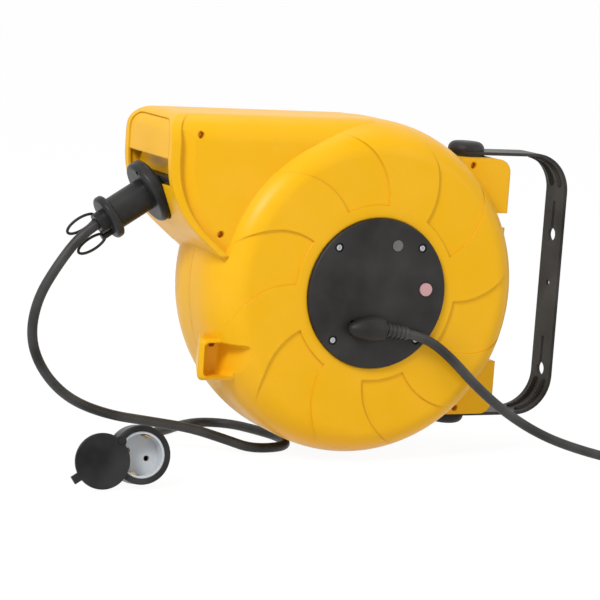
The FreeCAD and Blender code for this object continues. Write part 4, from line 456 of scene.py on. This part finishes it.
# %% [markdown]
# Rubber is duller than plastic and a little uneven, so its colour and gloss wander more.

# %% Rubber
rubber = finish("cord_rubber", srgb("1A1918"), 0.46, grain=0.04, grain_size=0.0012, mottle=0.12, specular=0.3)
dress(rubber, "cord_boot")
for cord in (output_cord, supply_cord, winding, lead_out, supply_lead):
    cord.data.materials.append(rubber)

# %% [markdown]
# The strap is steel with a dark, slightly glossy paint that mirrors the pale room, so its flat
# face looks warm grey and its edges look black. The studs, nuts and small screws are zinc plated,
# and the screws of the shells are metal painted orange, which stands for the yellow light bounced at the
# bottom of their deep holes.

# %% Painted strap and metal parts
strap_paint = finish("strap_paint", srgb("24211C"), 0.4, grain=0.03, grain_size=0.0016, mottle=0.1,
                     specular=0.15)
dress(strap_paint, "wall_bracket")
zinc = finish("zinc_plate", srgb("B9BABB"), 0.32, grain=0.01, mottle=0.08, edge=0.0003, metallic=1.0)
dress(
    zinc,
    "terminal_screws",
    "axle",
    "axle_screw",
    "spring_case",
    "spring_case_lid",
    "pawl",
    "pawl_pin",
    "pivot_studs",
    "pivot_nuts",
    "cover_screws",
)
dark_steel = finish("dark_steel", srgb("4A4744"), 0.4, grain=0.01, edge=0.0003, metallic=1.0)
dress(dark_steel, "stopper_screws", "main_spring", "pawl_spring")
# The shell screws' orange colour is painted bounce light from their deep yellow holes, laid over a zinc-like
# metal.
zinc_painted_bounce_orange = finish("zinc_painted_bounce_orange", srgb("D98A2B"), 0.38, grain=0.01, mottle=0.1, edge=0.0003, metallic=0.8)
dress(zinc_painted_bounce_orange, "shell_screws")
brass = finish("brass_contact", srgb("C9A468"), 0.3, grain=0.01, edge=0.0003, metallic=1.0)
dress(brass, "contact_sockets", "earth_clips", "slip_rings", "plug_pins", "drum_bushes")

# %% [markdown]
# Small parts that give the round cover its character: a smoky lens over the pilot lamp, a
# pinkish reset button, and the pale insert that carries the contacts in the coupling.

# %% Lens, button and insert
lens = finish("smoky_lens", srgb("5A5555"), 0.2, grain=0.005, mottle=0.1, edge=0.0004, coat=0.3)
dress(lens, "pilot_lens")
button = finish("pink_button", srgb("C9999B"), 0.3, grain=0.005, mottle=0.04, edge=0.0006)
dress(button, "reset_button")
insert = finish("pale_insert", srgb("C8CCD0"), 0.35, grain=0.01, mottle=0.05, edge=0.0006)
dress(insert, "coupling_insert", "pilot_lamp", "terminal_block")

# %% [markdown]
# The studio is a pale floor under an even white sky with three soft lamps. To the camera the
# floor is almost pure white, as in the photograph, but it still takes the object's shadow.

# %% Floor, world and lamps
FLOOR_HALF = 60.0
FLOOR_Z = -FLOOR_DROP * MM
FLOOR_GREY = (0.86, 0.86, 0.86, 1)
WHITE_SHARE = 0.9
WHITE_GLOW = 1.05
WORLD_LEVEL = 0.45


def seen_directly(tree):
    """One where a ray comes from the camera, a mirror or a glass, and nought for light."""
    path = tree.nodes.new("ShaderNodeLightPath")
    total = path.outputs["Is Camera Ray"]
    for name in ("Is Glossy Ray", "Is Transmission Ray"):
        both = tree.nodes.new("ShaderNodeMath")
        both.operation = "MAXIMUM"
        tree.links.new(total, both.inputs[0])
        tree.links.new(path.outputs[name], both.inputs[1])
        total = both.outputs[0]
    return total


def studio_floor():
    """A plain floor at the object's foot that is nearly white to the camera but takes its shadow."""
    mesh = bpy.data.meshes.new("studio_floor")
    half = FLOOR_HALF
    corners = [(-half, -half, FLOOR_Z), (half, -half, FLOOR_Z), (half, half, FLOOR_Z), (-half, half, FLOOR_Z)]
    mesh.from_pydata(corners, [], [(0, 1, 2, 3)])
    floor = bpy.data.objects.new("studio_floor", mesh)
    bpy.context.collection.objects.link(floor)
    material = bpy.data.materials.new("studio_floor")
    material.use_nodes = True
    tree = material.node_tree
    matt = tree.nodes["Principled BSDF"]
    matt.inputs["Base Color"].default_value = FLOOR_GREY
    matt.inputs["Roughness"].default_value = 0.9
    glow = tree.nodes.new("ShaderNodeEmission")
    glow.inputs["Strength"].default_value = WHITE_GLOW
    share = tree.nodes.new("ShaderNodeMath")
    share.operation = "MULTIPLY"
    share.inputs[1].default_value = WHITE_SHARE
    tree.links.new(seen_directly(tree), share.inputs[0])
    blend = tree.nodes.new("ShaderNodeMixShader")
    tree.links.new(share.outputs[0], blend.inputs["Fac"])
    tree.links.new(matt.outputs[0], blend.inputs[1])
    tree.links.new(glow.outputs[0], blend.inputs[2])
    tree.links.new(blend.outputs[0], tree.nodes["Material Output"].inputs["Surface"])
    mesh.materials.append(material)


def studio_world(level):
    """A sky that is white to the camera and lights the object at a level of its own."""
    world = bpy.data.worlds.new("studio")
    world.use_nodes = True
    bpy.context.scene.world = world
    tree = world.node_tree
    background = tree.nodes["Background"]
    background.inputs["Color"].default_value = WHITE
    strength = tree.nodes.new("ShaderNodeMapRange")
    strength.inputs["To Min"].default_value = level
    strength.inputs["To Max"].default_value = 1.0
    tree.links.new(seen_directly(tree), strength.inputs["Value"])
    tree.links.new(strength.outputs["Result"], background.inputs["Strength"])


def soft_lamp(name, place, target, size, watts):
    """A square lamp, with its side in metres, that faces the target."""
    data = bpy.data.lights.new(name, "AREA")
    data.shape = "SQUARE"
    data.size = size
    data.energy = watts
    lamp = bpy.data.objects.new(name, data)
    lamp.location = place
    lamp.rotation_euler = (Vector(target) - Vector(place)).to_track_quat("-Z", "Y").to_euler()
    bpy.context.collection.objects.link(lamp)


studio_floor()
studio_world(WORLD_LEVEL)
MIDDLE = (-0.25, 0.0, 0.0)
soft_lamp("key_lamp", (-2.0, -1.2, 1.7), MIDDLE, 0.7, 42)
soft_lamp("fill_lamp", (1.6, -1.9, 0.9), MIDDLE, 1.4, 8)
soft_lamp("top_lamp", (-0.2, 0.3, 2.2), MIDDLE, 1.4, 12)
bpy.context.scene.view_settings.view_transform = "Standard"
